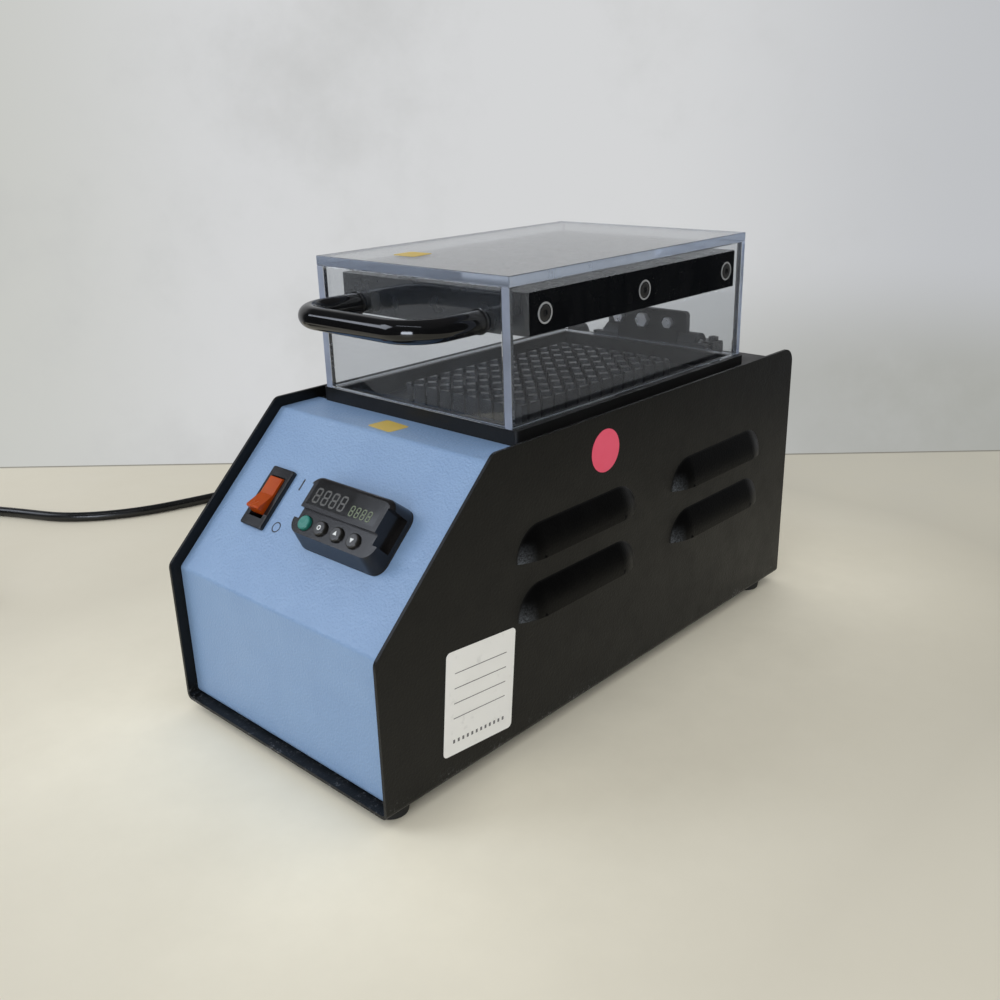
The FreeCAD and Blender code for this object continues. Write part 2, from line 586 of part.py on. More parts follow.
louvre = [
    pad(case, louvre_outline("0", False), f"2 * {louvre_middle}", both=True),
    turn(case, "Revolution", louvre_outline(louvre_middle, False), "H_Axis", 90.0, back=True),
    turn(case, "Revolution", louvre_outline("-" + louvre_middle, False), "H_Axis", 90.0),
    pocket(case, louvre_outline("0", True), f"2 * {louvre_middle}", both=True),
    turn(case, "Groove", louvre_outline(louvre_middle, True), "H_Axis", 90.0, back=True),
    turn(case, "Groove", louvre_outline("-" + louvre_middle, True), "H_Axis", 90.0),
]
doc.recompute()


def repeat(body, originals, steps):
    """Repeat features along lines and across planes.

    Each step is ("line", reference, spacing expression, count expression) or ("mirror", plane).
    """
    multi = body.newObject("PartDesign::MultiTransform", "MultiTransform")
    multi.Originals = originals
    transformations = []
    for step in steps:
        if step[0] == "line":
            item = body.newObject("PartDesign::LinearPattern", "LinearPattern")
            item.Direction = (origin_axis(body, step[1]), [""])
            bind(item, "Length", f"({step[2]}) * (({step[3]}) - 1)")
            if step[3].isdigit():
                item.Occurrences = int(step[3])
            else:
                bind(item, "Occurrences", step[3])
        else:
            item = body.newObject("PartDesign::Mirrored", "Mirrored")
            item.MirrorPlane = (origin_plane(body, step[1]), [""])
        transformations.append(item)
    multi.Transformations = transformations
    body.Tip = multi
    return multi


def origin_axis(body, role):
    """Find one of the three axes of a body by its role."""
    return origin_plane(body, role)


repeat(case, louvre, [
    ("line", "Y_Axis", louvre_pitch, "2"),
    ("line", "Z_Axis", "LouvreRowPitch", "2"),
    ("mirror", "YZ_Plane"),
])
floor_holes = new_sketch(case)
foot_spots = [(f"{side}FootSide", depth) for side in ("", "-") for depth in ("FootFront", "CaseDepth - FootRear")]
for x, y in foot_spots:
    circle(floor_holes, SMALL_HOLE, x, y)
for y in ("CaseScrewInset", "CaseDepth - CaseScrewInset"):
    circle(floor_holes, SMALL_HOLE, "0", y)
relay_middle, strip_middle = "(CaseDepth - RelayBack)", "(CaseDepth - TerminalBack)"
relay_spots = [("RelaySide", f"{relay_middle} {sign} RelayScrewPitch / 2") for sign in "+-"]
strip_reach = "(TerminalWays * TerminalPitch / 2 + 3)"
strip_spots = [("TerminalSide", f"{strip_middle} {sign} {strip_reach}") for sign in "+-"]
earth_spot = ("EarthSide", "CaseDepth - EarthBack")
for x, y in relay_spots + [earth_spot]:
    circle(floor_holes, MEDIUM_HOLE, x, y)
for x, y in strip_spots:
    circle(floor_holes, SMALL_HOLE, x, y)
pocket(case, floor_holes)
place(case)

# Panels: the blue front and the black rear cover

panel_width = "(CaseWidth - 2 * SheetThickness - 2 * PanelGap)"
front = new_body("front_panel")
deep = "(RimInset + SheetThickness)"
section = new_sketch(front, "YZ_Plane")
flange_end = "RimInset + FlangeDepth"
flange_top = f"({FLOOR_TOP} + SheetThickness)"
polygon(section, [
    (flange_end, FLOOR_TOP), ("RimInset", FLOOR_TOP), ("RimInset", panel_low("RimInset")),
    (panel_high("RimInset"), DECK_TOP), (JOIN, DECK_TOP), (JOIN, DECK_LOW),
    (panel_high(deep), DECK_LOW), (deep, panel_low(deep)), (deep, flange_top), (flange_end, flange_top),
])
blank = pad(front, section, panel_width, both=True)
outside = [("RimInset", FLOOR_TOP), ("RimInset", panel_low("RimInset")), (panel_high("RimInset"), DECK_TOP)]
blank = soften(front, "Fillet", blank, edges_along(blank, 0, outside), "BendInside + SheetThickness")
within = [(panel_high(deep), DECK_LOW), (deep, panel_low(deep)), (deep, flange_top)]
soften(front, "Fillet", blank, edges_along(blank, 0, within), "BendInside")
windows = new_sketch(front, "XY_Plane")
windows.AttachmentOffset = FreeCAD.Placement(FreeCAD.Vector(), FreeCAD.Rotation(FreeCAD.Vector(1, 0, 0), 45))
bind(windows, "AttachmentOffset.Rotation.Angle", f"atan({RISE} / SlopeRun)")
bind(windows, "AttachmentOffset.Base.y", f"RimInset * {SINE} + SlopeCentre * {COSINE}")
bind(windows, "AttachmentOffset.Base.z", f"NoseHeight - RimInset * {COSINE} + SlopeCentre * {SINE}")
rectangle(windows, "SwitchBodyWidth + 2 * PlugPlay", "SwitchBodyLength + 2 * PlugPlay", "SwitchSide", "0")
rectangle(windows, "ControlBodyWidth + 2 * PlugPlay", "ControlBodyHeight + 2 * PlugPlay", "ControlSide", "0")
pocket(front, windows, "4 * SheetThickness", both=True)
flange_holes = new_sketch(front)
for side in ("", "-"):
    circle(flange_holes, SMALL_HOLE, side + "FootSide", "FootFront")
circle(flange_holes, SMALL_HOLE, "0", "CaseScrewInset")
pocket(front, flange_holes, f"2 * {FLOOR_TOP}", back=True)
place(front)

cover = new_body("rear_cover")
rear_in = f"({REAR_FACE} - SheetThickness)"
rear_flange = f"{REAR_FACE} - FlangeDepth"
join_rear = f"({JOIN} + PanelGap)"
section = new_sketch(cover, "YZ_Plane")
polygon(section, [
    (join_rear, DECK_TOP), (REAR_FACE, DECK_TOP), (REAR_FACE, FLOOR_TOP), (rear_flange, FLOOR_TOP),
    (rear_flange, flange_top), (rear_in, flange_top), (rear_in, DECK_LOW), (join_rear, DECK_LOW),
])
blank = pad(cover, section, panel_width, both=True)
outside = edges_along(blank, 0, [(REAR_FACE, DECK_TOP), (REAR_FACE, FLOOR_TOP)])
blank = soften(cover, "Fillet", blank, outside, "BendInside + SheetThickness")
within = edges_along(blank, 0, [(rear_in, flange_top), (rear_in, DECK_LOW)])
soften(cover, "Fillet", blank, within, "BendInside")
well = new_sketch(cover, "XY_Plane", DECK_LOW)
rectangle(well, "WellWidth", WELL_LENGTH, "0", COVER_MIDDLE)
pocket(cover, well, "2 * SheetThickness", back=True)
deck_holes = new_sketch(cover, "XY_Plane", DECK_LOW)
block_spots = [(f"{side}BlockScrewSide", f"{COVER_MIDDLE} + {step} * ({FLANGE_LENGTH} / 2 - BlockScrewEnd)")
               for side in ("", "-") for step in ("-1", "0", "1")]
hinge_base_spots = [(f"{side}HingeBaseScrewSide", f"{HINGE_DEPTH} + HingeBaseDepth * 0.42") for side in ("", "-")]
for x, y in block_spots + hinge_base_spots:
    circle(deck_holes, SMALL_HOLE, x, y)
pocket(cover, deck_holes, "2 * SheetThickness", back=True)
inlet_middle = "(InletHeight - InletFlangeDrop)"
inlet_body_height = "(InletFlangeHeight - 8)"
rear_holes = new_sketch(cover, "XZ_Plane", f"-{REAR_FACE}")
rectangle(rear_holes, "InletBodyWidth + 2 * PlugPlay", f"{inlet_body_height} + 2 * PlugPlay",
          "InletSide", inlet_middle)
for sign in "+-":
    circle(rear_holes, SMALL_HOLE, f"InletSide {sign} InletScrewSpacing / 2", inlet_middle)
pocket(cover, rear_holes, "4 * SheetThickness", both=True)
flange_holes = new_sketch(cover)
for side in ("", "-"):
    circle(flange_holes, SMALL_HOLE, side + "FootSide", "CaseDepth - FootRear")
circle(flange_holes, SMALL_HOLE, "0", "CaseDepth - CaseScrewInset")
pocket(cover, flange_holes, f"2 * {FLOOR_TOP}", back=True)
place(cover)

# Seat frame, bored sample block and what hangs below it

frame = new_body("well_frame")
ring = new_sketch(frame, "XY_Plane", DECK_TOP)
rectangle(ring, "FrameWidth", COVER_LENGTH, "0", COVER_MIDDLE)
rectangle(ring, "WellWidth", WELL_LENGTH, "0", COVER_MIDDLE)
seat = pad(frame, ring, "FrameThickness")
frame_ends = [(f"{side}FrameWidth / 2", end) for side in ("", "-") for end in ("CoverFront", COVER_REAR)]
soften(frame, "Fillet", seat, edges_along(seat, 2, frame_ends), "2")
threads = new_sketch(frame, "XY_Plane", DECK_TOP)
for x, y in block_spots:
    circle(threads, SMALL_HOLE, x, y)
pocket(frame, threads, "FrameThickness - BlindFloor", back=True)
place(frame)

gasket = new_body("well_gasket")
ring = new_sketch(gasket, "XY_Plane", BLOCK_FLOOR)
rectangle(ring, FLANGE_WIDTH, FLANGE_LENGTH, "0", COVER_MIDDLE)
rectangle(ring, "WellWidth", WELL_LENGTH, "0", COVER_MIDDLE)
for x, y in block_spots:
    circle(ring, SMALL_HOLE, x, y)
pad(gasket, ring, "GasketThickness")
place(gasket)

block = new_body("sample_block")
plate = new_sketch(block, "XY_Plane", BLOCK_LOW)
rectangle(plate, FLANGE_WIDTH, FLANGE_LENGTH, "0", COVER_MIDDLE)
pad(block, plate, "BlockFlangeThickness")
field = new_sketch(block, "XY_Plane", BLOCK_LOW)
field_width = "((BoreColumns - 1) * BorePitch + 2 * BoreEdge)"
field_length = "((BoreRows - 1) * BorePitch + 2 * BoreEdge)"
rectangle(field, field_width, field_length, "0", COVER_MIDDLE)
pad(block, field, f"{FRAME_TOP} - {BLOCK_LOW}")
bore = new_sketch(block, "XY_Plane", FRAME_TOP)
bore_low = f"({BLOCK_LOW} + BoreFloor)"
circle(bore, "BoreDiameter", "-(BoreColumns - 1) * BorePitch / 2",
       f"{COVER_MIDDLE} - (BoreRows - 1) * BorePitch / 2")
bores = pocket(block, bore, f"{FRAME_TOP} - {bore_low}")
doc.recompute()
repeat(block, [bores], [
    ("line", "X_Axis", "BorePitch", "BoreColumns"),
    ("line", "Y_Axis", "BorePitch", "BoreRows"),
])
block_holes = new_sketch(block, "XY_Plane", BLOCK_LOW)
for x, y in block_spots:
    circle(block_holes, SMALL_HOLE, x, y)
pocket(block, block_holes, "2 * BlockFlangeThickness", back=True)
stud_spots = [(f"{a}TrayStudSide", f"{COVER_MIDDLE} {b} ({FLANGE_LENGTH} / 2 - TrayStudEnd)") for a in ("", "-") for b in "+-"]
stud_holes = new_sketch(block, "XY_Plane", BLOCK_LOW)
for x, y in stud_spots:
    circle(stud_holes, MEDIUM_HOLE, x, y)
pocket(block, stud_holes, "BlockFlangeThickness - BlindFloor", back=True)
probe_height = f"({BLOCK_LOW} + BlockFlangeThickness / 2)"
block_rear = f"({COVER_MIDDLE} + {FLANGE_LENGTH} / 2)"
probe_hole = new_sketch(block, "XZ_Plane", f"-{block_rear}")
circle(probe_hole, "ProbeDiameter + 2 * ScrewPlay", "ProbeSide", probe_height)
pocket(block, probe_hole, "ProbeDepth + ScrewPlay", back=True)
place(block)

mat_width = f"({FLANGE_WIDTH} - 2 * HeaterMargin)"
mat_length = f"({FLANGE_LENGTH} - 2 * HeaterMargin)"
cutout_spot = ("0", f"{COVER_MIDDLE} + CutoutOffset")
for label, low, thickness in (("heater_mat", HEATER_LOW, "HeaterThickness"),
                              ("insulation_pad", TRAY_TOP, "InsulationThickness")):
    layer = new_body(label)
    sheet_of = new_sketch(layer, "XY_Plane", low)
    rectangle(sheet_of, mat_width, mat_length, "0", COVER_MIDDLE)
    circle(sheet_of, "CutoutDiameter + 2", *cutout_spot)
    pad(layer, sheet_of, thickness)
    place(layer)

tray = new_body("support_tray")
section = new_sketch(tray, "XZ_Plane", f"-{COVER_MIDDLE}")
wide, narrow = f"{mat_width} / 2", f"({mat_width} / 2 - SheetThickness)"
tray_foot = f"({TRAY_TOP} - TrayFlange)"
tray_low = f"({TRAY_TOP} - SheetThickness)"
polygon(section, [
    ("-" + wide, tray_foot), ("-" + narrow, tray_foot), ("-" + narrow, tray_low), (narrow, tray_low),
    (narrow, tray_foot), (wide, tray_foot), (wide, TRAY_TOP), ("-" + wide, TRAY_TOP),
])
plate = pad(tray, section, FLANGE_LENGTH, both=True)
bends = edges_along(plate, 1, [(wide, TRAY_TOP), ("-" + wide, TRAY_TOP)])
soften(tray, "Fillet", plate, bends, "SheetThickness")
tray_holes = new_sketch(tray, "XY_Plane", TRAY_TOP)
for x, y in stud_spots:
    circle(tray_holes, MEDIUM_HOLE, x, y)
circle(tray_holes, "CutoutDiameter + 2", *cutout_spot)
pocket(tray, tray_holes, "2 * SheetThickness")
place(tray)

small = (number("SmallScrew"), number("SmallHead"), number("SmallHeadHeight"))
medium = (number("MediumScrew"), number("MediumHead"), number("MediumHeadHeight"))
large = (number("LargeScrew"), number("LargeHead"), number("LargeHeadHeight"))
sheet_gauge = number("SheetThickness")

block_reach = number(f"{DECK_TOP} - {BLOCK_LOW} + FrameThickness - BlindFloor - 1")
copies("block_screws", cap_screw(*small, block_reach), [(x, y, BLOCK_LOW) for x, y in block_spots], (0, 0, -1))
stud_length, stud_thread = number(f"{BLOCK_LOW} - {TRAY_TOP}"), number("TrayStudThread")
stud_body = hex_nut(0.1, number("TrayStudWidth"), stud_length)
stud_core = cylinder_at(number("MediumScrew") / 2, stud_length + 2 * stud_thread, (0, 0, -stud_thread))
copies("tray_studs", stud_body.fuse(stud_core).removeSplitter(), [(x, y, TRAY_TOP) for x, y in stud_spots])
medium_nut = hex_nut(number(MEDIUM_HOLE), number("MediumNut"), number("MediumNutHeight"))
small_nut = hex_nut(number(SMALL_HOLE), number("SmallNut"), number("SmallNutHeight"))
copies("tray_nuts", medium_nut, [(x, y, f"{tray_low} - MediumNutHeight") for x, y in stud_spots])

cutout_can = cylinder_at(number("CutoutDiameter") / 2, 7.0, (0, 0, -7.0))
cutout_base = cylinder_at(number("CutoutDiameter") / 2 - 1.5, 5.0, (0, 0, -11.5))
blade = Part.makeBox(0.8, 6.3, number("CutoutHeight") - 11.0, FreeCAD.Vector(-0.4, -3.15, -number("CutoutHeight")))
cutout = cutout_can.fuse([cutout_base] + [blade.translated(FreeCAD.Vector(x, 0, 0)) for x in (-3.5, 3.5)])
copies("thermal_cutout", cutout, [cutout_spot + (BLOCK_LOW,)])
probe_tip = f"({block_rear} - ProbeDepth)"
probe = cylinder_at(number("ProbeDiameter") / 2, number("ProbeLength"), (0, 0, 0))
probe = probe.makeFillet(1.0, [edge for edge in probe.Edges if edge.BoundBox.Center.z < 1e-6])
copies("temperature_sensor", probe, [("ProbeSide", probe_tip, probe_height)], (0, 1, 0))

# Electrical parts on the case floor

relay = new_body("solid_state_relay")
base_plate = new_sketch(relay, "XY_Plane", FLOOR_TOP)
rectangle(base_plate, "RelayWidth", "RelayLength", "RelaySide", relay_middle)
for x, y in relay_spots:
    circle(base_plate, MEDIUM_HOLE, x, y)
pad(relay, base_plate, "RelayBase")
housing = new_sketch(relay, "XY_Plane", f"{FLOOR_TOP} + RelayBase")
rectangle(housing, "RelayWidth - 1", "RelayScrewPitch - MediumHead - 2", "RelaySide", relay_middle)
shell = pad(relay, housing, "RelayHeight - RelayBase")
soften(relay, "Fillet", shell, face_edges(shell, 2, f"{FLOOR_TOP} + RelayHeight"), "1")
wells = new_sketch(relay, "XY_Plane", f"{FLOOR_TOP} + RelayHeight")
relay_terminals = [(f"RelaySide {a} 13", f"{relay_middle} {b} 12") for a in "+-" for b in "+-"]
for x, y in relay_terminals:
    circle(wells, "MediumHead + 2", x, y)
pocket(relay, wells, "5")
place(relay)
copies("relay_screws", cap_screw(*medium, number("RelayBase") + sheet_gauge),
       [(x, y, f"{FLOOR_TOP} + RelayBase") for x, y in relay_spots])
terminal_disc = cylinder_at(number("MediumHead") / 2, number("MediumHeadHeight"), (0, 0, 0))
terminal_slot = Part.makeBox(number("MediumHead"), 1.0, 1.2, FreeCAD.Vector(-number("MediumHead") / 2, -0.5, 1.7))
copies("relay_terminals", terminal_disc.cut(terminal_slot),
       [(x, y, f"{FLOOR_TOP} + RelayHeight - 5") for x, y in relay_terminals])

strip = new_body("terminal_strip")
section = new_sketch(strip, "XZ_Plane", f"-{strip_middle}")
strip_top = f"({FLOOR_TOP} + TerminalHeight)"
polygon(section, [
    ("TerminalSide - TerminalWidth / 2", FLOOR_TOP), ("TerminalSide + TerminalWidth / 2", FLOOR_TOP),
    ("TerminalSide + TerminalWidth / 2", f"{FLOOR_TOP} + 7"), ("TerminalSide + 3.2", f"{FLOOR_TOP} + 9"),
    ("TerminalSide + 3.2", strip_top), ("TerminalSide - 3.2", strip_top),
    ("TerminalSide - 3.2", f"{FLOOR_TOP} + 9"), ("TerminalSide - TerminalWidth / 2", f"{FLOOR_TOP} + 7"),
])
pad(strip, section, "TerminalWays * TerminalPitch", both=True)
ends = new_sketch(strip, "XY_Plane", FLOOR_TOP)
rectangle(ends, "8", f"2 * {strip_reach} + 7", "TerminalSide", strip_middle)
for x, y in strip_spots:
    circle(ends, SMALL_HOLE, x, y)
pad(strip, ends, "3")
openings = new_sketch(strip, "XY_Plane", f"{FLOOR_TOP} + 9")
first_way = f"{strip_middle} - (TerminalWays - 1) * TerminalPitch / 2"
for sign in "+-":
    circle(openings, "5", f"TerminalSide {sign} 6.7", first_way)
cups = pocket(strip, openings, "5")
doc.recompute()
repeat(strip, [cups], [("line", "Y_Axis", "TerminalPitch", "TerminalWays")])
place(strip)
ways = [(f"TerminalSide {sign} 6.7", f"{first_way} + {way} * TerminalPitch", f"{FLOOR_TOP} + 4")
        for sign in "+-" for way in range(int(number("TerminalWays")))]
copies("terminal_screws", cylinder_at(2.2, 2.0, (0, 0, 0)), ways)
copies("strip_screws", cap_screw(*small, 3.0 + sheet_gauge), [(x, y, f"{FLOOR_TOP} + 3") for x, y in strip_spots])
stud = cap_screw(*medium, 17.0)
copies("earth_stud", stud, [earth_spot + ("FootHeight",)], (0, 0, -1))
copies("earth_nuts", medium_nut, [earth_spot + (f"{FLOOR_TOP} + {lift}",) for lift in ("0", "4.5")])

# Mains inlet with its fuse drawer on the rear panel

inlet = new_body("power_inlet")
flange = new_sketch(inlet, "XZ_Plane", f"-{REAR_FACE}")
rectangle(flange, "InletFlangeWidth", "InletFlangeHeight", "InletSide", inlet_middle)
for sign in "+-":
    circle(flange, SMALL_HOLE, f"InletSide {sign} InletScrewSpacing / 2", inlet_middle)
plate = pad(inlet, flange, "InletFlangeThickness", back=True)
inlet_corners = [(f"InletSide {a} InletFlangeWidth / 2", f"{inlet_middle} {b} InletFlangeHeight / 2")
                 for a in "+-" for b in "+-"]
soften(inlet, "Fillet", plate, edges_along(plate, 1, inlet_corners), "2.5")
housing = new_sketch(inlet, "XZ_Plane", f"-{REAR_FACE}")
rectangle(housing, "InletBodyWidth", inlet_body_height, "InletSide", inlet_middle)
pad(inlet, housing, "InletBodyDepth")
inlet_face = f"({REAR_FACE} + InletFlangeThickness)"
socket = new_sketch(inlet, "XZ_Plane", f"-{inlet_face}")


def keyed_outline(width, height, cut):
    """Corners of a mains connector: a rectangle with its two upper corners cut."""
    left, right = f"InletSide - ({width}) / 2", f"InletSide + ({width}) / 2"
    low, high = f"InletHeight - ({height}) / 2", f"InletHeight + ({height}) / 2"
    return [
        (left, low), (right, low), (right, f"{high} - ({cut})"), (f"{right} - ({cut})", high),
        (f"{left} + ({cut})", high), (left, f"{high} - ({cut})"),
    ]


polygon(socket, keyed_outline("SocketWidth", "SocketHeight", "SocketChamfer"))
pocket(inlet, socket, "SocketDepth", back=True)
fuse_slot = new_sketch(inlet, "XZ_Plane", f"-{inlet_face}")
fuse_height = "(InletHeight - FuseDrop)"
rectangle(fuse_slot, "FuseWidth", "FuseHeight", "InletSide", fuse_height)
pocket(inlet, fuse_slot, "FuseDepth", back=True)
blade_spots = [("InletSide - BladePitch", "InletHeight - 2"), ("InletSide + BladePitch", "InletHeight - 2"),
               ("InletSide", "InletHeight + 2")]
slots = new_sketch(inlet, "XZ_Plane", f"-{inlet_face}")
for x, z in blade_spots:
    rectangle(slots, "BladeWidth", "BladeHeight", x, z)
pocket(inlet, slots, "2 * InletBodyDepth", back=True)
place(inlet)

contacts = Part.makeBox(number("BladeWidth"), number("BladeLength") + 18.0, number("BladeHeight"),
                        FreeCAD.Vector(-number("BladeWidth") / 2, 0, -number("BladeHeight") / 2))
blade_end = f"{inlet_face} - SocketDepth + BladeLength"
copies("inlet_contacts", contacts, [(x, f"{blade_end} - BladeLength - 18", z) for x, z in blade_spots])
drawer = new_body("fuse_drawer")
tray_face = new_sketch(drawer, "XZ_Plane", f"-{inlet_face}")
rectangle(tray_face, "FuseWidth - 0.4", "FuseHeight - 0.4", "InletSide", fuse_height)
slide_in = pad(drawer, tray_face, "FuseDepth")
lip = new_sketch(drawer, "XZ_Plane", f"-{inlet_face}")
rectangle(lip, "FuseWidth + 1.5", "FuseHeight + 1.2", "InletSide", fuse_height)
pad(drawer, lip, "FuseProud", back=True)
notch = new_sketch(drawer, "XZ_Plane", f"-({inlet_face} + FuseProud)")
rectangle(notch, "7", "2.4", "InletSide", f"{fuse_height} + FuseHeight / 2 - 1.2")
pocket(drawer, notch, "0.8", back=True)
place(drawer)
inlet_screw = cap_screw(*small, number("InletFlangeThickness + SheetThickness") + 4.0)
inlet_screw_spots = [(f"InletSide {sign} InletScrewSpacing / 2", inlet_face, inlet_middle) for sign in "+-"]
nut_depth = f"{REAR_FACE} - SheetThickness - SmallNutHeight"
mixed_copies("inlet_screws",
             [(inlet_screw, spot, (0, 1, 0)) for spot in inlet_screw_spots]
             + [(small_nut, (spot[0], nut_depth, spot[2]), (0, 1, 0)) for spot in inlet_screw_spots])

# Case screws and feet

flange_level = f"({FLOOR_TOP} + SheetThickness)"
case_screw = cap_screw(*small, 2 * sheet_gauge + 4.0)
case_screw_spots = [("0", "CaseScrewInset"), ("0", "CaseDepth - CaseScrewInset")]
mixed_copies("case_screws",
             [(case_screw, (x, y, "FootHeight"), (0, 0, -1)) for x, y in case_screw_spots]
             + [(small_nut, (x, y, flange_level), (0, 0, 1)) for x, y in case_screw_spots])
foot = Part.makeCone(number("FootLowDiameter") / 2, number("FootTopDiameter") / 2, number("FootHeight"))
foot_rim = [edge for edge in foot.Edges if edge.BoundBox.Center.z < 1e-6 and edge.BoundBox.ZLength < 1e-6]
foot = foot.makeFillet(0.8, foot_rim)
screw_hole = cylinder_at(number(SMALL_HOLE) / 2, 4.0, (0, 0, 1.5))
copies("feet", foot.cut(screw_hole), [(x, y, "0") for x, y in foot_spots])
foot_screw = cap_screw(*small, 2 * sheet_gauge + 3.3)
copies("foot_screws", foot_screw, [(x, y, flange_level) for x, y in foot_spots])

# Rocker switch on the slope: local Y runs up the slope, Z stands out from it

housing = new_body("switch_housing")
bezel = new_sketch(housing)
rectangle(bezel, "SwitchWidth", "SwitchLength")
rim = pad(housing, bezel, "SwitchProud")
rim_corners = [(f"{a}SwitchWidth / 2", f"{b}SwitchLength / 2") for a in ("", "-") for b in ("", "-")]
rim = soften(housing, "Fillet", rim, edges_along(rim, 2, rim_corners), "1")
soften(housing, "Fillet", rim, face_edges(rim, 2, "SwitchProud"), "0.6")
barrel = new_sketch(housing)
rectangle(barrel, "SwitchBodyWidth", "SwitchBodyLength")
pad(housing, barrel, "SwitchBodyDepth", back=True)
opening = new_sketch(housing, "XY_Plane", "SwitchProud")
rectangle(opening, "RockerWidth + 2 * RockerGap", "2 * RockerHalf + 2.6")
pocket(housing, opening, "SwitchProud + 9")
pivots = new_sketch(housing, "YZ_Plane")
circle(pivots, "TrunnionDiameter + 0.3", "0", ROCKER_PIVOT)
pocket(housing, pivots, "RockerWidth + 2 * TrunnionLength + 0.6", both=True)
place_on_slope(housing, "SwitchSide")

rocker = new_body("switch_rocker")
rocker_side = new_sketch(rocker, "YZ_Plane")
tip = ("RockerHalf * cos(RockerTilt)", "RockerRise + RockerHalf * sin(RockerTilt)")
polygon(rocker_side, [
    ("0", "RockerRise"), ("-" + tip[0], tip[1]), ("-" + tip[0] + " + 0.3", "0.4"),
    ("-5.6", "-RockerSkirt"), ("5.6", "-RockerSkirt"), (tip[0] + " - 0.3", "0.4"), tip,
])
rocking = pad(rocker, rocker_side, "RockerWidth", both=True)
tips = edges_along(rocking, 0, [("-" + tip[0], tip[1]), tip])
soften(rocker, "Fillet", rocking, tips, "0.7")
trunnions = new_sketch(rocker, "YZ_Plane")
circle(trunnions, "TrunnionDiameter", "0", "0")
pad(rocker, trunnions, "RockerWidth + 2 * TrunnionLength", both=True)
place_on_slope(rocker, "SwitchSide", "SlopeCentre", ROCKER_PIVOT)
bind(rocker, "Placement.Rotation.Angle", f"atan({RISE} / SlopeRun) - RockerTilt * 1 deg")


def slope_copies(label, shape, spots):
    """Keep equal loose pieces in the slope's own axes as one sub-part."""
    solids = []
    for spot in spots:
        piece = shape.copy()
        piece.translate(FreeCAD.Vector(*[number(part) for part in spot]))
        solids.append(piece)
    item = doc.addObject("Part::Feature", "Group")
    item.Shape = Part.makeCompound(solids)
    place_on_slope(item)
    return keep(item, label)


tab = Part.makeBox(4.8, 0.8, number("SwitchTerminalLength"), FreeCAD.Vector(-2.4, -0.4, 0))
slope_copies("switch_terminals", tab,
             [("SwitchSide", step, "-SwitchBodyDepth - SwitchTerminalLength") for step in ("-8", "0", "8")])

# Temperature controller on the slope

seal = new_body("controller_seal")
ring = new_sketch(seal)
rectangle(ring, "ControlWidth - 1", "ControlHeight - 1")
rectangle(ring, "ControlBodyWidth + 2 * PlugPlay", "ControlBodyHeight + 2 * PlugPlay")
pad(seal, ring, "SealThickness")
place_on_slope(seal, "ControlSide")

def level_edges(shape, low, high):
    """Give the edges of a shape that reach from one height to another."""
    return [edge for edge in shape.Edges
            if abs(edge.BoundBox.ZMin - low) < 0.02 and abs(edge.BoundBox.ZMax - high) < 0.02]


seal_top, bezel_top = number("SealThickness"), number("ControlProud")
bezel_outlines = []
for width, low, high, level in (("ControlWidth", "-ControlHeight / 2", "ControlHeight / 2", seal_top),
                                ("ControlFaceWidth", "ControlFaceLow", "ControlFaceTop", bezel_top)):
    half, near, far = number(width) / 2, number(low), number(high)
    ring = [(-half, near), (half, near), (half, far), (-half, far), (-half, near)]
    bezel_outlines.append(Part.makePolygon([FreeCAD.Vector(x, y, level) for x, y in ring]))
bezel_shape = Part.makeLoft(bezel_outlines, True, True)
bezel_shape = bezel_shape.makeFillet(number("ControlCorner"), level_edges(bezel_shape, seal_top, bezel_top))
bezel_shape = bezel_shape.makeFillet(number("ControlFaceRound"), level_edges(bezel_shape, bezel_top, bezel_top))
bezel_blank = doc.addObject("Part::Feature", "BezelBlank")
bezel_blank.Shape = bezel_shape
bezel = new_body("controller_bezel")
bezel.BaseFeature = bezel_blank
doc.recompute()
keys_step = new_sketch(bezel, "XY_Plane", "ControlProud")
rectangle(keys_step, "ControlWidth + 2", "ControlHeight", "0", "ControlStep - ControlHeight / 2")
pocket(bezel, keys_step, "ControlProud - ControlKeyFace")
window_hole = new_sketch(bezel, "XY_Plane", "ControlProud")
window_middle = "((ControlFaceTop + ControlStep) / 2)"
rectangle(window_hole, "WindowWidth", "WindowHeight", "ControlFaceShift", window_middle)
pocket(bezel, window_hole, "WindowDepth")
for end in ("", "-"):
    clip = new_sketch(bezel, "XY_Plane", "ControlProud")
    rectangle(clip, "2 * ClipDepth", "ClipWidth", f"{end}ControlWidth / 2", "2")
    pocket(bezel, clip, "ControlProud - SealThickness - ClipFloor")
key_bores = new_sketch(bezel, "XY_Plane", "ControlKeyFace")
key_spots = [f"KeyFirst + {index} * KeyPitch" for index in range(4)]
for x in key_spots:
    circle(key_bores, "KeyDiameter + 2 * KeyGap", x, "KeyLine")
pocket(bezel, key_bores, "KeyDepth + KeyTravel + 0.3")
place_on_slope(bezel, "ControlSide")

window = new_body("controller_window")
pane = new_sketch(window, "XY_Plane", "ControlProud - WindowDepth")
rectangle(pane, "WindowWidth", "WindowHeight", "ControlFaceShift", window_middle)
pad(window, pane, "WindowDepth")
place_on_slope(window, "ControlSide")

for index, x in enumerate(key_spots, 1):
    key = new_body("key_%d" % index)
    cap = new_sketch(key, "XY_Plane", "-KeyDepth")
    circle(cap, "KeyDiameter")
    stem = pad(key, cap, "KeyDepth + KeyProud")
    soften(key, "Fillet", stem, face_edges(stem, 2, "KeyProud"), "0.7")
    place_on_slope(key, f"ControlSide + {x}", "SlopeCentre + KeyLine", "ControlKeyFace")

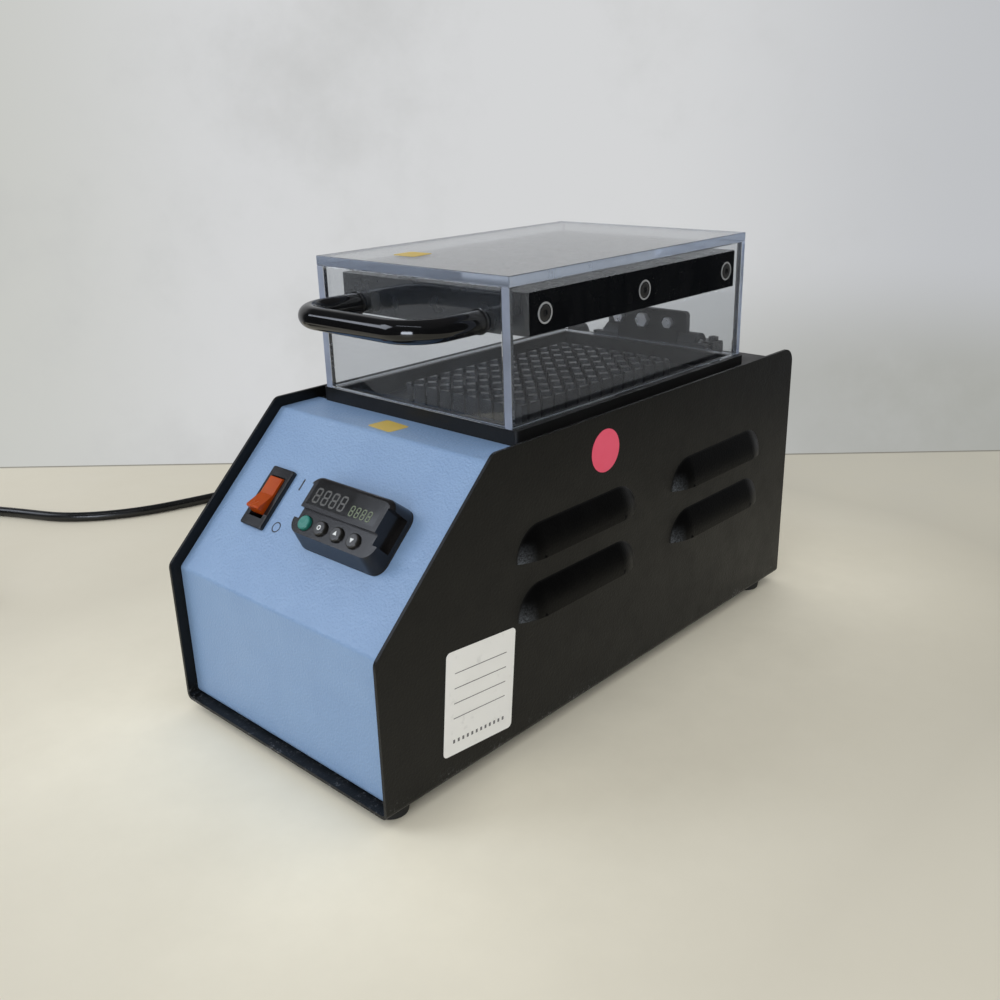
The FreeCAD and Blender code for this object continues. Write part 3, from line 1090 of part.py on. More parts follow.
case_body = new_body("controller_case")
tube = new_sketch(case_body, "XY_Plane", "SealThickness")
rectangle(tube, "ControlBodyWidth", "ControlBodyHeight")
shell = pad(case_body, tube, "ControlBodyDepth + SealThickness", back=True)
rear_edges = [(f"{a}ControlBodyWidth / 2", f"{b}ControlBodyHeight / 2") for a in ("", "-") for b in ("", "-")]
soften(case_body, "Fillet", shell, edges_along(shell, 2, rear_edges), "1")
place_on_slope(case_body, "ControlSide")
rail = Part.makeBox(36.0, 6.5, 7.0, FreeCAD.Vector(-18.0, -3.25, -7.0))
for way in range(6):
    rail = rail.cut(cylinder_at(2.0, 4.0, (-15.0 + 6.0 * way, 0, -7.0)))
slope_copies("controller_terminals", rail, [("ControlSide", y, "-ControlBodyDepth") for y in ("-5.5", "5.5")])

collar = new_body("controller_collar")
ring = new_sketch(collar, "XY_Plane", "-SheetThickness")
rectangle(ring, "ControlBodyWidth + 2 * CollarWall", "ControlBodyHeight + 2 * CollarWall")
rectangle(ring, "ControlBodyWidth + 0.2", "ControlBodyHeight + 0.2")
pad(collar, ring, "CollarThickness", back=True)
place_on_slope(collar, "ControlSide")

# Clear cover, its slab and its bow handle

acrylic = new_body("cover_box")
outer = new_sketch(acrylic, "XY_Plane", FRAME_TOP)
rectangle(outer, "CoverWidth", COVER_LENGTH, "0", COVER_MIDDLE)
shell = pad(acrylic, outer, "CoverHeight")
hollow = new_sketch(acrylic, "XY_Plane", FRAME_TOP)
rectangle(hollow, "CoverWidth - 2 * CoverWall", f"{COVER_LENGTH} - 2 * CoverWall", "0", COVER_MIDDLE)
pocket(acrylic, hollow, "CoverHeight - CoverWall", back=True)
slab_screw_pitch = f"(({COVER_LENGTH} - SlabScrewFront - SlabScrewRear) / 2)"
slab_screw_line = [f"CoverFront + SlabScrewFront + {step} * {slab_screw_pitch}" for step in range(3)]
through = new_sketch(acrylic, "YZ_Plane")
for y in slab_screw_line:
    circle(through, MEDIUM_HOLE, y, SLAB_MIDDLE)
pocket(acrylic, through)
for side, back in (("", True), ("-", False)):
    seats = new_sketch(acrylic, "YZ_Plane", f"{side}(CoverWidth / 2 - SlabScrewSeatDepth)")
    for y in slab_screw_line:
        circle(seats, "SlabScrewSeat", y, SLAB_MIDDLE)
    pocket(acrylic, seats, "2 * SlabScrewSeatDepth", back=back)
front_holes = new_sketch(acrylic, "XZ_Plane", "-(CoverFront + CoverWall)")
leg_lines = [f"HandleOffset {sign} HandleSpacing / 2" for sign in "-+"]
for x in leg_lines:
    circle(front_holes, LARGE_HOLE, x, HANDLE_HEIGHT)
pocket(acrylic, front_holes, "2 * CoverWall", both=True)
rear_holes = new_sketch(acrylic, "XZ_Plane", f"-{COVER_REAR}")
circle(rear_holes, MEDIUM_HOLE, "0", LEAF_SCREWS)
for sign in ("", "-"):
    circle(rear_holes, SMALL_HOLE, sign + "HingeScrewSide", LEAF_SCREWS)
pocket(acrylic, rear_holes, "4 * CoverWall", both=True)
place(acrylic)

slab = new_body("lid_slab")
slab_middle = f"(({SLAB_FRONT} + {SLAB_REAR}) / 2)"
slab_face = new_sketch(slab, "XY_Plane", SLAB_LOW)
rectangle(slab_face, f"2 * {SLAB_SIDE}", f"{SLAB_REAR} - {SLAB_FRONT}", "0", slab_middle)
blank = pad(slab, slab_face, "SlabThickness")
slab_ends = [(f"{side}{SLAB_SIDE}", end) for side in ("", "-") for end in (SLAB_FRONT, SLAB_REAR)]
soften(slab, "Chamfer", blank, edges_along(blank, 2, slab_ends), "SlabChamfer")
for side, back in (("", False), ("-", True)):
    threads = new_sketch(slab, "YZ_Plane", f"{side}{SLAB_SIDE}")
    for y in slab_screw_line:
        circle(threads, MEDIUM_HOLE, y, SLAB_MIDDLE)
    pocket(slab, threads, "14", back=back)
place(slab)
slab_screw = cap_screw(*medium, number("CoverWall - SlabScrewSeatDepth") + 12.0)
seat_side = "(CoverWidth / 2 - SlabScrewSeatDepth)"
mixed_copies("lid_screws",
             [(slab_screw, (seat_side, y, SLAB_MIDDLE), (1, 0, 0)) for y in slab_screw_line]
             + [(slab_screw, ("-" + seat_side, y, SLAB_MIDDLE), (-1, 0, 0)) for y in slab_screw_line])

handle = new_body("handle")
spine = new_sketch(handle, "XY_Plane", HANDLE_HEIGHT)
left_leg, right_leg = leg_lines
leg_root = "(CoverFront - HandleWasherThickness)"
bar_line = "(CoverFront - HandleReach)"
left_x, right_x, root_y, bar_y, bend_r = [number(text) for text in
                                          (left_leg, right_leg, leg_root, bar_line, "HandleBend")]
up = FreeCAD.Vector(0, 0, 1)
left_turn = Part.Circle(FreeCAD.Vector(left_x + bend_r, bar_y + bend_r, 0), up, bend_r)
right_turn = Part.Circle(FreeCAD.Vector(right_x - bend_r, bar_y + bend_r, 0), up, bend_r)
spine.addGeometry(Part.LineSegment(FreeCAD.Vector(left_x, root_y, 0), FreeCAD.Vector(left_x, bar_y + bend_r, 0)))
spine.addGeometry(Part.ArcOfCircle(left_turn, math.pi, 1.5 * math.pi))
spine.addGeometry(Part.LineSegment(FreeCAD.Vector(left_x + bend_r, bar_y, 0), FreeCAD.Vector(right_x - bend_r, bar_y, 0)))
spine.addGeometry(Part.ArcOfCircle(right_turn, 1.5 * math.pi, 2 * math.pi))
spine.addGeometry(Part.LineSegment(FreeCAD.Vector(right_x, bar_y + bend_r, 0), FreeCAD.Vector(right_x, root_y, 0)))
for first, first_end, second, second_end in ((0, 2, 1, 1), (1, 2, 2, 1), (2, 2, 3, 1), (3, 2, 4, 1)):
    spine.addConstraint(Sketcher.Constraint("Coincident", first, first_end, second, second_end))
fix_point(spine, 0, 1, left_leg, leg_root)
fix_point(spine, 1, 3, f"{left_leg} + HandleBend", f"{bar_line} + HandleBend")
fix_point(spine, 3, 3, f"{right_leg} - HandleBend", f"{bar_line} + HandleBend")
fix_point(spine, 4, 2, right_leg, leg_root)
for geometry, end, kind, text in ((0, 2, "DistanceX", left_leg), (0, 2, "DistanceY", f"{bar_line} + HandleBend"),
                                  (2, 1, "DistanceX", f"{left_leg} + HandleBend"),
                                  (2, 2, "DistanceX", f"{right_leg} - HandleBend"),
                                  (4, 1, "DistanceX", right_leg), (4, 1, "DistanceY", f"{bar_line} + HandleBend")):
    index = spine.addConstraint(Sketcher.Constraint(kind, -1, 1, geometry, end, number(text)))
    spine.setExpression("Constraints[%d]" % index, bound(text))
rod = new_sketch(handle, "XZ_Plane", f"-{leg_root}")
circle(rod, "HandleDiameter", left_leg, HANDLE_HEIGHT)
bow = handle.newObject("PartDesign::AdditivePipe", "AdditivePipe")
bow.Profile = rod
bow.Spine = (spine, ["Edge%d" % number_of for number_of in range(1, 6)])
doc.recompute()
thread_holes = new_sketch(handle, "XZ_Plane", f"-{leg_root}")
for x in leg_lines:
    circle(thread_holes, LARGE_HOLE, x, HANDLE_HEIGHT)
pocket(handle, thread_holes, "HandleThreadDepth", back=True)
place(handle)
washer = cylinder_at(number("HandleWasherDiameter") / 2, number("HandleWasherThickness"), (0, 0, 0))
washer = washer.cut(cylinder_at(number(LARGE_HOLE) / 2, number("HandleWasherThickness"), (0, 0, 0)))
copies("handle_washers", washer, [(x, leg_root, HANDLE_HEIGHT) for x in leg_lines], (0, 1, 0))
handle_screw = cap_screw(*large, number("CoverWall + HandleWasherThickness + HandleThreadDepth") - 1.0)
copies("handle_screws", handle_screw, [(x, "CoverFront + CoverWall", HANDLE_HEIGHT) for x in leg_lines], (0, 1, 0))

# Hinge behind the cover

base = new_body("hinge_base")
base_front = f"({COVER_REAR} + 0.5)"
base_middle = f"({base_front} + HingeBaseDepth / 2)"
foot_print = new_sketch(base, "XY_Plane", DECK_TOP)
rectangle(foot_print, "HingeBaseWidth", "HingeBaseDepth", "0", base_middle)
block_of = pad(base, foot_print, "HingeBaseHeight")
base_rear = f"({base_front} + HingeBaseDepth)"
top_rim = edges_along(block_of, 0, [(base_rear, f"{DECK_TOP} + HingeBaseHeight")])
soften(base, "Fillet", block_of, top_rim, "2")
ears = new_sketch(base, "YZ_Plane")
circle(ears, "HingeBarrel", HINGE_DEPTH, HINGE_HEIGHT)
pad(base, ears, f"2 * ({HINGE_EAR} + HingeEarWidth)", both=True)
gap = new_sketch(base, "YZ_Plane")
clear = "(HingeBarrel / 2 + 0.5)"
rectangle(gap, f"{clear} + 8", f"{clear} + 8",
          f"({HINGE_DEPTH} + {clear} - ({clear} + 8) / 2)", f"({HINGE_HEIGHT} - {clear} + ({clear} + 8) / 2)")
pocket(base, gap, f"2 * {HINGE_EAR}", both=True)
pin_hole = new_sketch(base, "YZ_Plane")
circle(pin_hole, "HingePinDiameter + 2 * HingePinFit", HINGE_DEPTH, HINGE_HEIGHT)
pocket(base, pin_hole)
screw_holes = new_sketch(base, "XY_Plane", DECK_TOP)
for x, y in hinge_base_spots:
    circle(screw_holes, SMALL_HOLE, x, y)
pocket(base, screw_holes, "2 * HingeBaseHeight", back=True)
place(base)
hinge_base_screw = cap_screw(*small, number("HingeBaseHeight + SheetThickness") + 3.5)
mixed_copies("hinge_base_screws",
             [(hinge_base_screw, (x, y, f"{DECK_TOP} + HingeBaseHeight"), (0, 0, 1)) for x, y in hinge_base_spots]
             + [(small_nut, (x, y, f"{DECK_LOW} - SmallNutHeight"), (0, 0, 1)) for x, y in hinge_base_spots])
pin_reach = number(f"2 * ({HINGE_EAR} + HingeEarWidth) + 2")
pin = cylinder_at(number("HingePinDiameter") / 2, pin_reach, (0, 0, -pin_reach / 2))
pin = pin.makeChamfer(0.5, [edge for edge in pin.Edges if edge.BoundBox.ZLength < 1e-6])
copies("hinge_pin", pin, [("0", HINGE_DEPTH, HINGE_HEIGHT)], (1, 0, 0))

leaf = new_body("hinge_leaf")
knuckle = new_sketch(leaf, "YZ_Plane")
circle(knuckle, "HingeBarrel", HINGE_DEPTH, HINGE_HEIGHT)
pad(leaf, knuckle, "HingeCentreWidth", both=True)
web = new_sketch(leaf, "YZ_Plane")
polygon(web, [
    (COVER_REAR, HINGE_HEIGHT), (HINGE_DEPTH, HINGE_HEIGHT), (HINGE_DEPTH, f"{HINGE_HEIGHT} + HingeBarrel / 2"),
    (f"{COVER_REAR} + HingeLeafThickness", LEAF_LOW), (COVER_REAR, f"{LEAF_LOW} + HingeScrewRise"),
])
pad(leaf, web, "HingeCentreWidth", both=True)
leaf_plate = new_sketch(leaf, "XZ_Plane", f"-{COVER_REAR}")
rectangle(leaf_plate, "HingeLeafWidth", f"{LEAF_TOP} - {LEAF_LOW}", "0", f"(({LEAF_TOP} + {LEAF_LOW}) / 2)")
plate = pad(leaf, leaf_plate, "HingeLeafThickness", back=True)
leaf_corners = edges_along(plate, 1, [(f"{side}HingeLeafWidth / 2", LEAF_TOP) for side in ("", "-")])
soften(leaf, "Fillet", plate, leaf_corners, "HingeLeafCorner")
leaf_holes = new_sketch(leaf, "XZ_Plane", f"-{COVER_REAR}")
circle(leaf_holes, MEDIUM_HOLE, "0", LEAF_SCREWS)
for sign in ("", "-"):
    circle(leaf_holes, SMALL_HOLE, sign + "HingeScrewSide", LEAF_SCREWS)
pocket(leaf, leaf_holes, "4 * HingeLeafThickness", both=True)
pin_bore = new_sketch(leaf, "YZ_Plane")
circle(pin_bore, "HingePinDiameter + 2 * HingePinFit", HINGE_DEPTH, HINGE_HEIGHT)
pocket(leaf, pin_bore)
place(leaf)
leaf_face = f"{COVER_REAR} + HingeLeafThickness"
leaf_reach = number("HingeLeafThickness + CoverWall") + 3.0
inner_face = f"{COVER_REAR} - CoverWall"
mixed_copies("hinge_leaf_screws",
             [(cap_screw(*medium, leaf_reach), ("0", leaf_face, LEAF_SCREWS), (0, 1, 0)),
              (medium_nut, ("0", f"{inner_face} - MediumNutHeight", LEAF_SCREWS), (0, 1, 0))]
             + [(cap_screw(*small, leaf_reach), (s + "HingeScrewSide", leaf_face, LEAF_SCREWS), (0, 1, 0))
                for s in ("", "-")]
             + [(small_nut, (s + "HingeScrewSide", f"{inner_face} - SmallNutHeight", LEAF_SCREWS), (0, 1, 0))
                for s in ("", "-")])

# Mains cord: connector, laid-out length, neat coil, short tail and plug

connector = new_body("cord_connector")
nose = new_sketch(connector, "XZ_Plane", f"-{inlet_face}")
polygon(nose, keyed_outline("SocketWidth - 2 * PlugPlay", "SocketHeight - 2 * PlugPlay", "SocketChamfer"))
pad(connector, nose, "SocketDepth - PlugPlay")
grip = new_sketch(connector, "XZ_Plane", f"-{inlet_face}")
polygon(grip, keyed_outline("ConnectorWidth", "ConnectorHeight", "SocketChamfer"))
pad(connector, grip, "ConnectorLength", back=True)
relief = new_sketch(connector, "XZ_Plane", f"-({inlet_face} + ConnectorLength)")
circle(relief, "ReliefDiameter", "InletSide", "InletHeight")
neck = new_sketch(connector, "XZ_Plane", f"-({inlet_face} + ConnectorLength + ReliefLength)")
circle(neck, "CordDiameter + 1.5", "InletSide", "InletHeight")
taper = connector.newObject("PartDesign::AdditiveLoft", "AdditiveLoft")
taper.Profile = relief
taper.Sections = [neck]
doc.recompute()
entries = new_sketch(connector, "XZ_Plane", f"-({inlet_face} - SocketDepth)")
for x, z in blade_spots:
    rectangle(entries, "BladeWidth + 0.4", "BladeHeight + 0.4", x, z)
pocket(connector, entries, "BladeLength + 1")
place(connector)

cord_lift = number("CordDiameter") / 2
relief_end = number(f"{inlet_face} + ConnectorLength + ReliefLength")
inlet_x, inlet_z = number("InletSide"), number("InletHeight")
ROUTE = [
    (inlet_x, relief_end, inlet_z), (inlet_x, relief_end + 30.0, inlet_z), (-38.0, 426.0, 24.0),
    (-76.0, 440.0, cord_lift), (-126.0, 424.0, cord_lift), (-174.0, 390.0, cord_lift),
    (-220.0, 352.0, cord_lift), (-260.0, 309.0, cord_lift), (-290.0, 260.0, cord_lift),
    (-308.0, 210.0, cord_lift), (-317.0, 165.0, cord_lift), (-331.0, 117.0, cord_lift),
    (-360.0, 79.0, cord_lift), (-403.0, 60.0, cord_lift), (-445.0, 37.6, cord_lift),
]
TAIL = [
    (-419.7, -54.0, 8.5), (-395.0, -55.5, 4.5), (-368.0, -52.5, cord_lift),
    (-346.0, -54.0, 6.3), (-330.0, -54.0, 6.3),
]


def rounded_route(points):
    """Join hand-chosen points with straight runs and tangent arcs; give the wire and the radii."""
    spots = [FreeCAD.Vector(*point) for point in points]
    edges, radii = [], []
    start = spots[0]
    for before, corner, after in zip(spots, spots[1:], spots[2:]):
        back, ahead = before - corner, after - corner
        cut = 0.45 * min(back.Length, ahead.Length)
        back.normalize()
        ahead.normalize()
        turn_angle = math.pi - back.getAngle(ahead)
        radii.append(cut / math.tan(turn_angle / 2))
        first, last = corner + back * cut, corner + ahead * cut
        middle_way = (back + ahead).normalize()
        sag = radii[-1] / math.cos(turn_angle / 2) - radii[-1]
        edges.append(Part.makeLine(start, first))
        edges.append(Part.Arc(first, corner + middle_way * sag, last).toShape())
        start = last
    edges.append(Part.makeLine(start, spots[-1]))
    return Part.Wire(edges), radii


def sweep_cord(label, points):
    """Sweep the round cord along a route."""
    wire, radii = rounded_route(points)
    start, ahead = wire.Edges[0].Vertexes[0].Point, wire.Edges[0].tangentAt(wire.Edges[0].FirstParameter)
    ring = Part.Wire([Part.Circle(start, ahead, number("CordDiameter") / 2).toShape()])
    item = doc.addObject("Part::Feature", "Cord")
    item.Shape = wire.makePipeShell([ring], True, False)
    place(item)
    expected = wire.Length * math.pi * (number("CordDiameter") / 2) ** 2
    print("%s: length %.0f, least radius %.1f, volume ratio %.4f"
          % (label, wire.Length, min(radii), item.Shape.Volume / expected))
    print("radii", " ".join("%.0f" % radius for radius in radii))
    return keep(item, label)


sweep_cord("cord_tube", ROUTE)
coil = new_body("cord_coil")
ring = new_sketch(coil, "XZ_Plane")
rectangle(ring, "CoilWidth", "CoilHeight", "CoilRadius", "CoilHeight / 2")
wound = turn(coil, "Revolution", ring, "V_Axis")
doc.recompute()
round_rims = ["Edge%d" % index for index, edge in enumerate(wound.Shape.Edges, 1)
              if edge.BoundBox.ZLength < 0.01 and len(edge.Vertexes) == 1]
soften(coil, "Fillet", wound, round_rims, "CordDiameter / 2 - 0.25")
place(coil, "CoilX", "CoilBack")
sweep_cord("cord_tail", TAIL)

plug = new_body("mains_plug")
plug_face = new_sketch(plug, "XY_Plane")
rectangle(plug_face, "MainsPlugWidth", "MainsPlugLength", "0", "-MainsPlugLength / 2 - 8")
shell = pad(plug, plug_face, "MainsPlugThickness")
plug_corners = [(f"{a}MainsPlugWidth / 2", b) for a in ("", "-") for b in ("-8", "-MainsPlugLength - 8")]
shell = soften(plug, "Fillet", shell, edges_along(shell, 2, plug_corners), "7")
soften(plug, "Fillet", shell, face_edges(shell, 2, "0"), "2")
neck = new_sketch(plug, "XZ_Plane", "8.5")
circle(neck, "CordDiameter + 6", "0", str(TAIL[-1][2]))
pad(plug, neck, "8.5", back=True)
pins = new_sketch(plug, "XY_Plane", "MainsPlugThickness - 1")
rectangle(pins, "4", "8", "0", "-MainsPlugLength + 26")
pad(plug, pins, "23.7")
pins = new_sketch(plug, "XY_Plane", "MainsPlugThickness - 1")
for x in ("-11.1", "11.1"):
    rectangle(pins, "6.4", "4", x, "-MainsPlugLength + 3.8")
pad(plug, pins, "18.7")
place(plug, str(TAIL[-1][0]), str(TAIL[-1][1]))
plug.Placement.Rotation = FreeCAD.Rotation(FreeCAD.Vector(0, 0, 1), 90)

# Check every object, then write one file for each sub-part

doc.recompute()
for item in doc.Objects:
    if "Invalid" in item.State or "Error" in item.State:
        raise RuntimeError("%s of %s did not compute" % (item.Name, item.Label))
for label, item in parts.items():
    shape = item.Shape
    if shape.isNull() or not shape.isValid() or not shape.Solids:
        raise RuntimeError("%s has no valid solid" % label)
os.makedirs("parts", exist_ok=True)
for label, item in parts.items():
    item.Shape.exportStep("parts/%s.step" % label)
print("%d sub-parts" % len(parts))
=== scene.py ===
"""Looks of the bench incubator for small sample tubes.

Every length is in metres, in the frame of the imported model: X to the right of the
case, Y to its rear, Z up from the table.
"""
import json
import logging
import math
from collections.abc import Callable, Iterator
from contextlib import contextmanager
from dataclasses import dataclass, field
from enum import Enum

import bmesh
import bpy
from mathutils import Matrix, Vector


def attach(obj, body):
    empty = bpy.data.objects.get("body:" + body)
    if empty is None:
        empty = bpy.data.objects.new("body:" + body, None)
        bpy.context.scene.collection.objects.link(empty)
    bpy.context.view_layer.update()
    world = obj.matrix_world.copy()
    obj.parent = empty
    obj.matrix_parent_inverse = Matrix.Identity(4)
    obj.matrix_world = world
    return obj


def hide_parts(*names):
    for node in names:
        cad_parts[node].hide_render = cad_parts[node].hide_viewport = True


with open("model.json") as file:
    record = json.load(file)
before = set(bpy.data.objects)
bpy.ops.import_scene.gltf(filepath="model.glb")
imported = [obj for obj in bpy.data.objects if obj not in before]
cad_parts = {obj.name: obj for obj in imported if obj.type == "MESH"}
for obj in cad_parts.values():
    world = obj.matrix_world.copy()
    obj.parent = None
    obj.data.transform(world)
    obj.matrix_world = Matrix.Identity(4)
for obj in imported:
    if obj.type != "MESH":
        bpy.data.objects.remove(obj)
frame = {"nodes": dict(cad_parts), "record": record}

LOG = logging.getLogger("incubator")
Spot = tuple[float, float, float]
Colour = tuple[float, float, float]
Pair = tuple[float, float]
# A noise is its scale, detail and roughness.
Noise = tuple[float, float, float]
# The least that a face points along an axis that it faces, and the most that a standing face points up.
SQUARE_ON = 0.9
STANDING = 0.5


class Kind(Enum):
    """Parts of a mesh that can be selected."""

    VERTEX = "VERT"
    EDGE = "EDGE"
    FACE = "FACE"


class SheetFace(Enum):
    """Marked faces of a clear sheet, each by the number of its material slot."""

    SAWN = 1
    LOWER_RIM = 2
    GLUED = 3


class Turn(Enum):
    """How a mapped value leaves its low end and reaches its high one."""

    STRAIGHT = "LINEAR"
    SOFT = "SMOOTHSTEP"


class Run(Enum):
    """Directions in which a ground or drawn grain runs."""

    ALONG_X = (1.0, 40.0, 40.0)
    ALONG_Y = (40.0, 1.0, 40.0)


def photo_colour(red: int, green: int, blue: int) -> Colour:
    """Turn an 8-bit display colour into the linear colour that shaders take.

    Args:
        red: Red from 0 to 255.
        green: Green from 0 to 255.
        blue: Blue from 0 to 255.

    Returns:
        The linear red, green and blue.
    """
    def linear(value: int) -> float:
        """Give one linear channel."""
        part = value / 255.0
        return part / 12.92 if part <= 0.04045 else ((part + 0.055) / 1.055) ** 2.4

    return linear(red), linear(green), linear(blue)


# Node recipes and finishes


class NodeWork:
    """A node tree while it is being written, on one kind of coordinates."""

    def __init__(self, tree: bpy.types.NodeTree, coordinates: str) -> None:
        """Empty the tree and give it its coordinates.

        Args:
            tree: The node tree.
            coordinates: The output of the Texture Coordinate node that patterns read.
        """
        self.tree = tree
        self.tree.nodes.clear()
        self.spots = self.node("ShaderNodeTexCoord").outputs[coordinates]

    def node(self, kind: str, **values: object) -> bpy.types.Node:
        """Add a node and set its properties.

        Args:
            kind: The node's type name.
            **values: Its properties.

        Returns:
            The new node.
        """
        made = self.tree.nodes.new(kind)
        for key, value in values.items():
            setattr(made, key, value)
        return made

    def link(self, start: bpy.types.NodeSocket, end: bpy.types.NodeSocket) -> None:
        """Join an output to an input."""
        self.tree.links.new(start, end)

    def stretched(self, scale: Spot) -> bpy.types.NodeSocket:
        """Stretch the coordinates.

        Args:
            scale: Scale along each axis.

        Returns:
            The stretched coordinates.
        """
        mapping = self.node("ShaderNodeMapping")
        mapping.inputs["Scale"].default_value = scale
        self.link(self.spots, mapping.inputs["Vector"])
        return mapping.outputs[0]

    def noise(self, scale: float, detail: float = 2.0, rough: float = 0.5,
              spots: bpy.types.NodeSocket | None = None) -> bpy.types.NodeSocket:
        """Add a noise pattern.

        Args:
            scale: Patches for each unit of the coordinates.
            detail: How many finer layers it has.
            rough: How strong the finer layers are.
            spots: Coordinates, or None for the tree's own.

        Returns:
            The pattern's value, about 0 to 1.
        """
        made = self.node("ShaderNodeTexNoise")
        for key, number in (("Scale", scale), ("Detail", detail), ("Roughness", rough)):
            made.inputs[key].default_value = number
        self.link(spots or self.spots, made.inputs["Vector"])
        return made.outputs["Fac"]

    def ranged(self, value: bpy.types.NodeSocket, low: float, high: float, start: float = 0.3,
               end: float = 0.7, turn: Turn = Turn.STRAIGHT) -> bpy.types.NodeSocket:
        """Map a stretch of a value to a range, and clamp it there.

        Args:
            value: The value.
            low: What the start becomes.
            high: What the end becomes.
            start: Where the stretch starts.
            end: Where the stretch ends.
            turn: How it leaves and reaches the ends.

        Returns:
            The mapped value.
        """
        made = self.node("ShaderNodeMapRange", clamp=True, interpolation_type=turn.value)
        for key, number in (("From Min", start), ("From Max", end), ("To Min", low), ("To Max", high)):
            made.inputs[key].default_value = number
        self.link(value, made.inputs["Value"])
        return made.outputs["Result"]

    def fade(self, value: bpy.types.NodeSocket, start: float, end: float) -> bpy.types.NodeSocket:
        """Give 0 at the start and 1 at the end of a value, with soft turns."""
        return self.ranged(value, 0.0, 1.0, start, end, Turn.SOFT)

    def math(self, work: str, first: bpy.types.NodeSocket,
             second: bpy.types.NodeSocket | float = 0.0) -> bpy.types.NodeSocket:
        """Work out one sum, clamped to 0..1 where it multiplies or adds.

        Args:
            work: The operation's name.
            first: The first value.
            second: The second value.

        Returns:
            The result.
        """
        made = self.node("ShaderNodeMath", operation=work, use_clamp=work in {"MULTIPLY", "ADD"})
        self.link(first, made.inputs[0])
        if isinstance(second, float):
            made.inputs[1].default_value = second
        else:
            self.link(second, made.inputs[1])
        return made.outputs[0]

    def axis(self, name: str) -> bpy.types.NodeSocket:
        """Split the coordinates.

        Args:
            name: X, Y or Z.

        Returns:
            That coordinate.
        """
        made = self.node("ShaderNodeSeparateXYZ")
        self.link(self.spots, made.inputs[0])
        return made.outputs[name]

    def toward(self, way: Spot | Vector) -> bpy.types.NodeSocket:
        """Measure the coordinates in one direction.

        Args:
            way: The direction.

        Returns:
            How far the coordinates reach that way.
        """
        made = self.node("ShaderNodeVectorMath", operation="DOT_PRODUCT")
        self.link(self.spots, made.inputs[0])
        made.inputs[1].default_value = way
        return made.outputs["Value"]

    def blend(self, share: bpy.types.NodeSocket, first: Colour | bpy.types.NodeSocket,
              second: Colour) -> bpy.types.NodeSocket:
        """Mix a colour or colour pattern with a second colour.

        Args:
            share: The second colour's share.
            first: The first colour or pattern.
            second: The second colour.

        Returns:
            The mixed colour.
        """
        made = self.node("ShaderNodeMix", data_type="RGBA")
        self.link(share, made.inputs[0])
        start, end = (socket for socket in made.inputs if socket.type == "RGBA")
        if isinstance(first, tuple):
            start.default_value = (*first, 1.0)
        else:
            self.link(first, start)
        end.default_value = (*second, 1.0)
        return next(socket for socket in made.outputs if socket.type == "RGBA")

    def mixed(self, share: bpy.types.NodeSocket, first: bpy.types.NodeSocket,
              second: bpy.types.NodeSocket) -> bpy.types.NodeSocket:
        """Mix two shaders.

        Args:
            share: The second shader's share.
            first: The first shader.
            second: The second shader.

        Returns:
            The mixed shader.
        """
        made = self.node("ShaderNodeMixShader")
        for number, socket in enumerate((share, first, second)):
            self.link(socket, made.inputs[number])
        return made.outputs[0]


class Recipe(NodeWork):
    """A material's node tree: a principled shader on object coordinates."""

    def __init__(self, name: str) -> None:
        """Start a material.

        Args:
            name: The material's name.
        """
        self.material = bpy.data.materials.new(name)
        self.material.use_nodes = True
        super().__init__(self.material.node_tree, "Object")
        self.output = self.node("ShaderNodeOutputMaterial")
        self.shader = self.node("ShaderNodeBsdfPrincipled")
        self.link(self.shader.outputs[0], self.output.inputs["Surface"])

    def set(self, **values: object) -> None:
        """Set constants on the principled shader, with _ for each space of a socket's name."""
        for key, value in values.items():
            self.shader.inputs[key.replace("_", " ")].default_value = value

    def steer(self, name: str, value: bpy.types.NodeSocket) -> None:
        """Let a pattern set a socket of the principled shader."""
        self.link(value, self.shader.inputs[name])

    def cover(self, share: bpy.types.NodeSocket, colour: Colour) -> None:
        """Lay a colour over the base colour where a pattern says so."""
        base = self.shader.inputs["Base Color"].links[0].from_socket
        self.steer("Base Color", self.blend(share, base, colour))

    def bump(self, height: bpy.types.NodeSocket, strength: float, distance: float) -> None:
        """Raise the surface by a pattern, on top of any bump that is there.

        Args:
            height: The pattern.
            strength: Share of the bump, 0 to 1.
            distance: Height of the pattern in metres.
        """
        made = self.node("ShaderNodeBump")
        made.inputs["Strength"].default_value = strength
        made.inputs["Distance"].default_value = distance
        self.link(height, made.inputs["Height"])
        normal = self.shader.inputs["Normal"]
        if normal.is_linked:
            self.link(normal.links[0].from_socket, made.inputs["Normal"])
        self.link(made.outputs[0], normal)


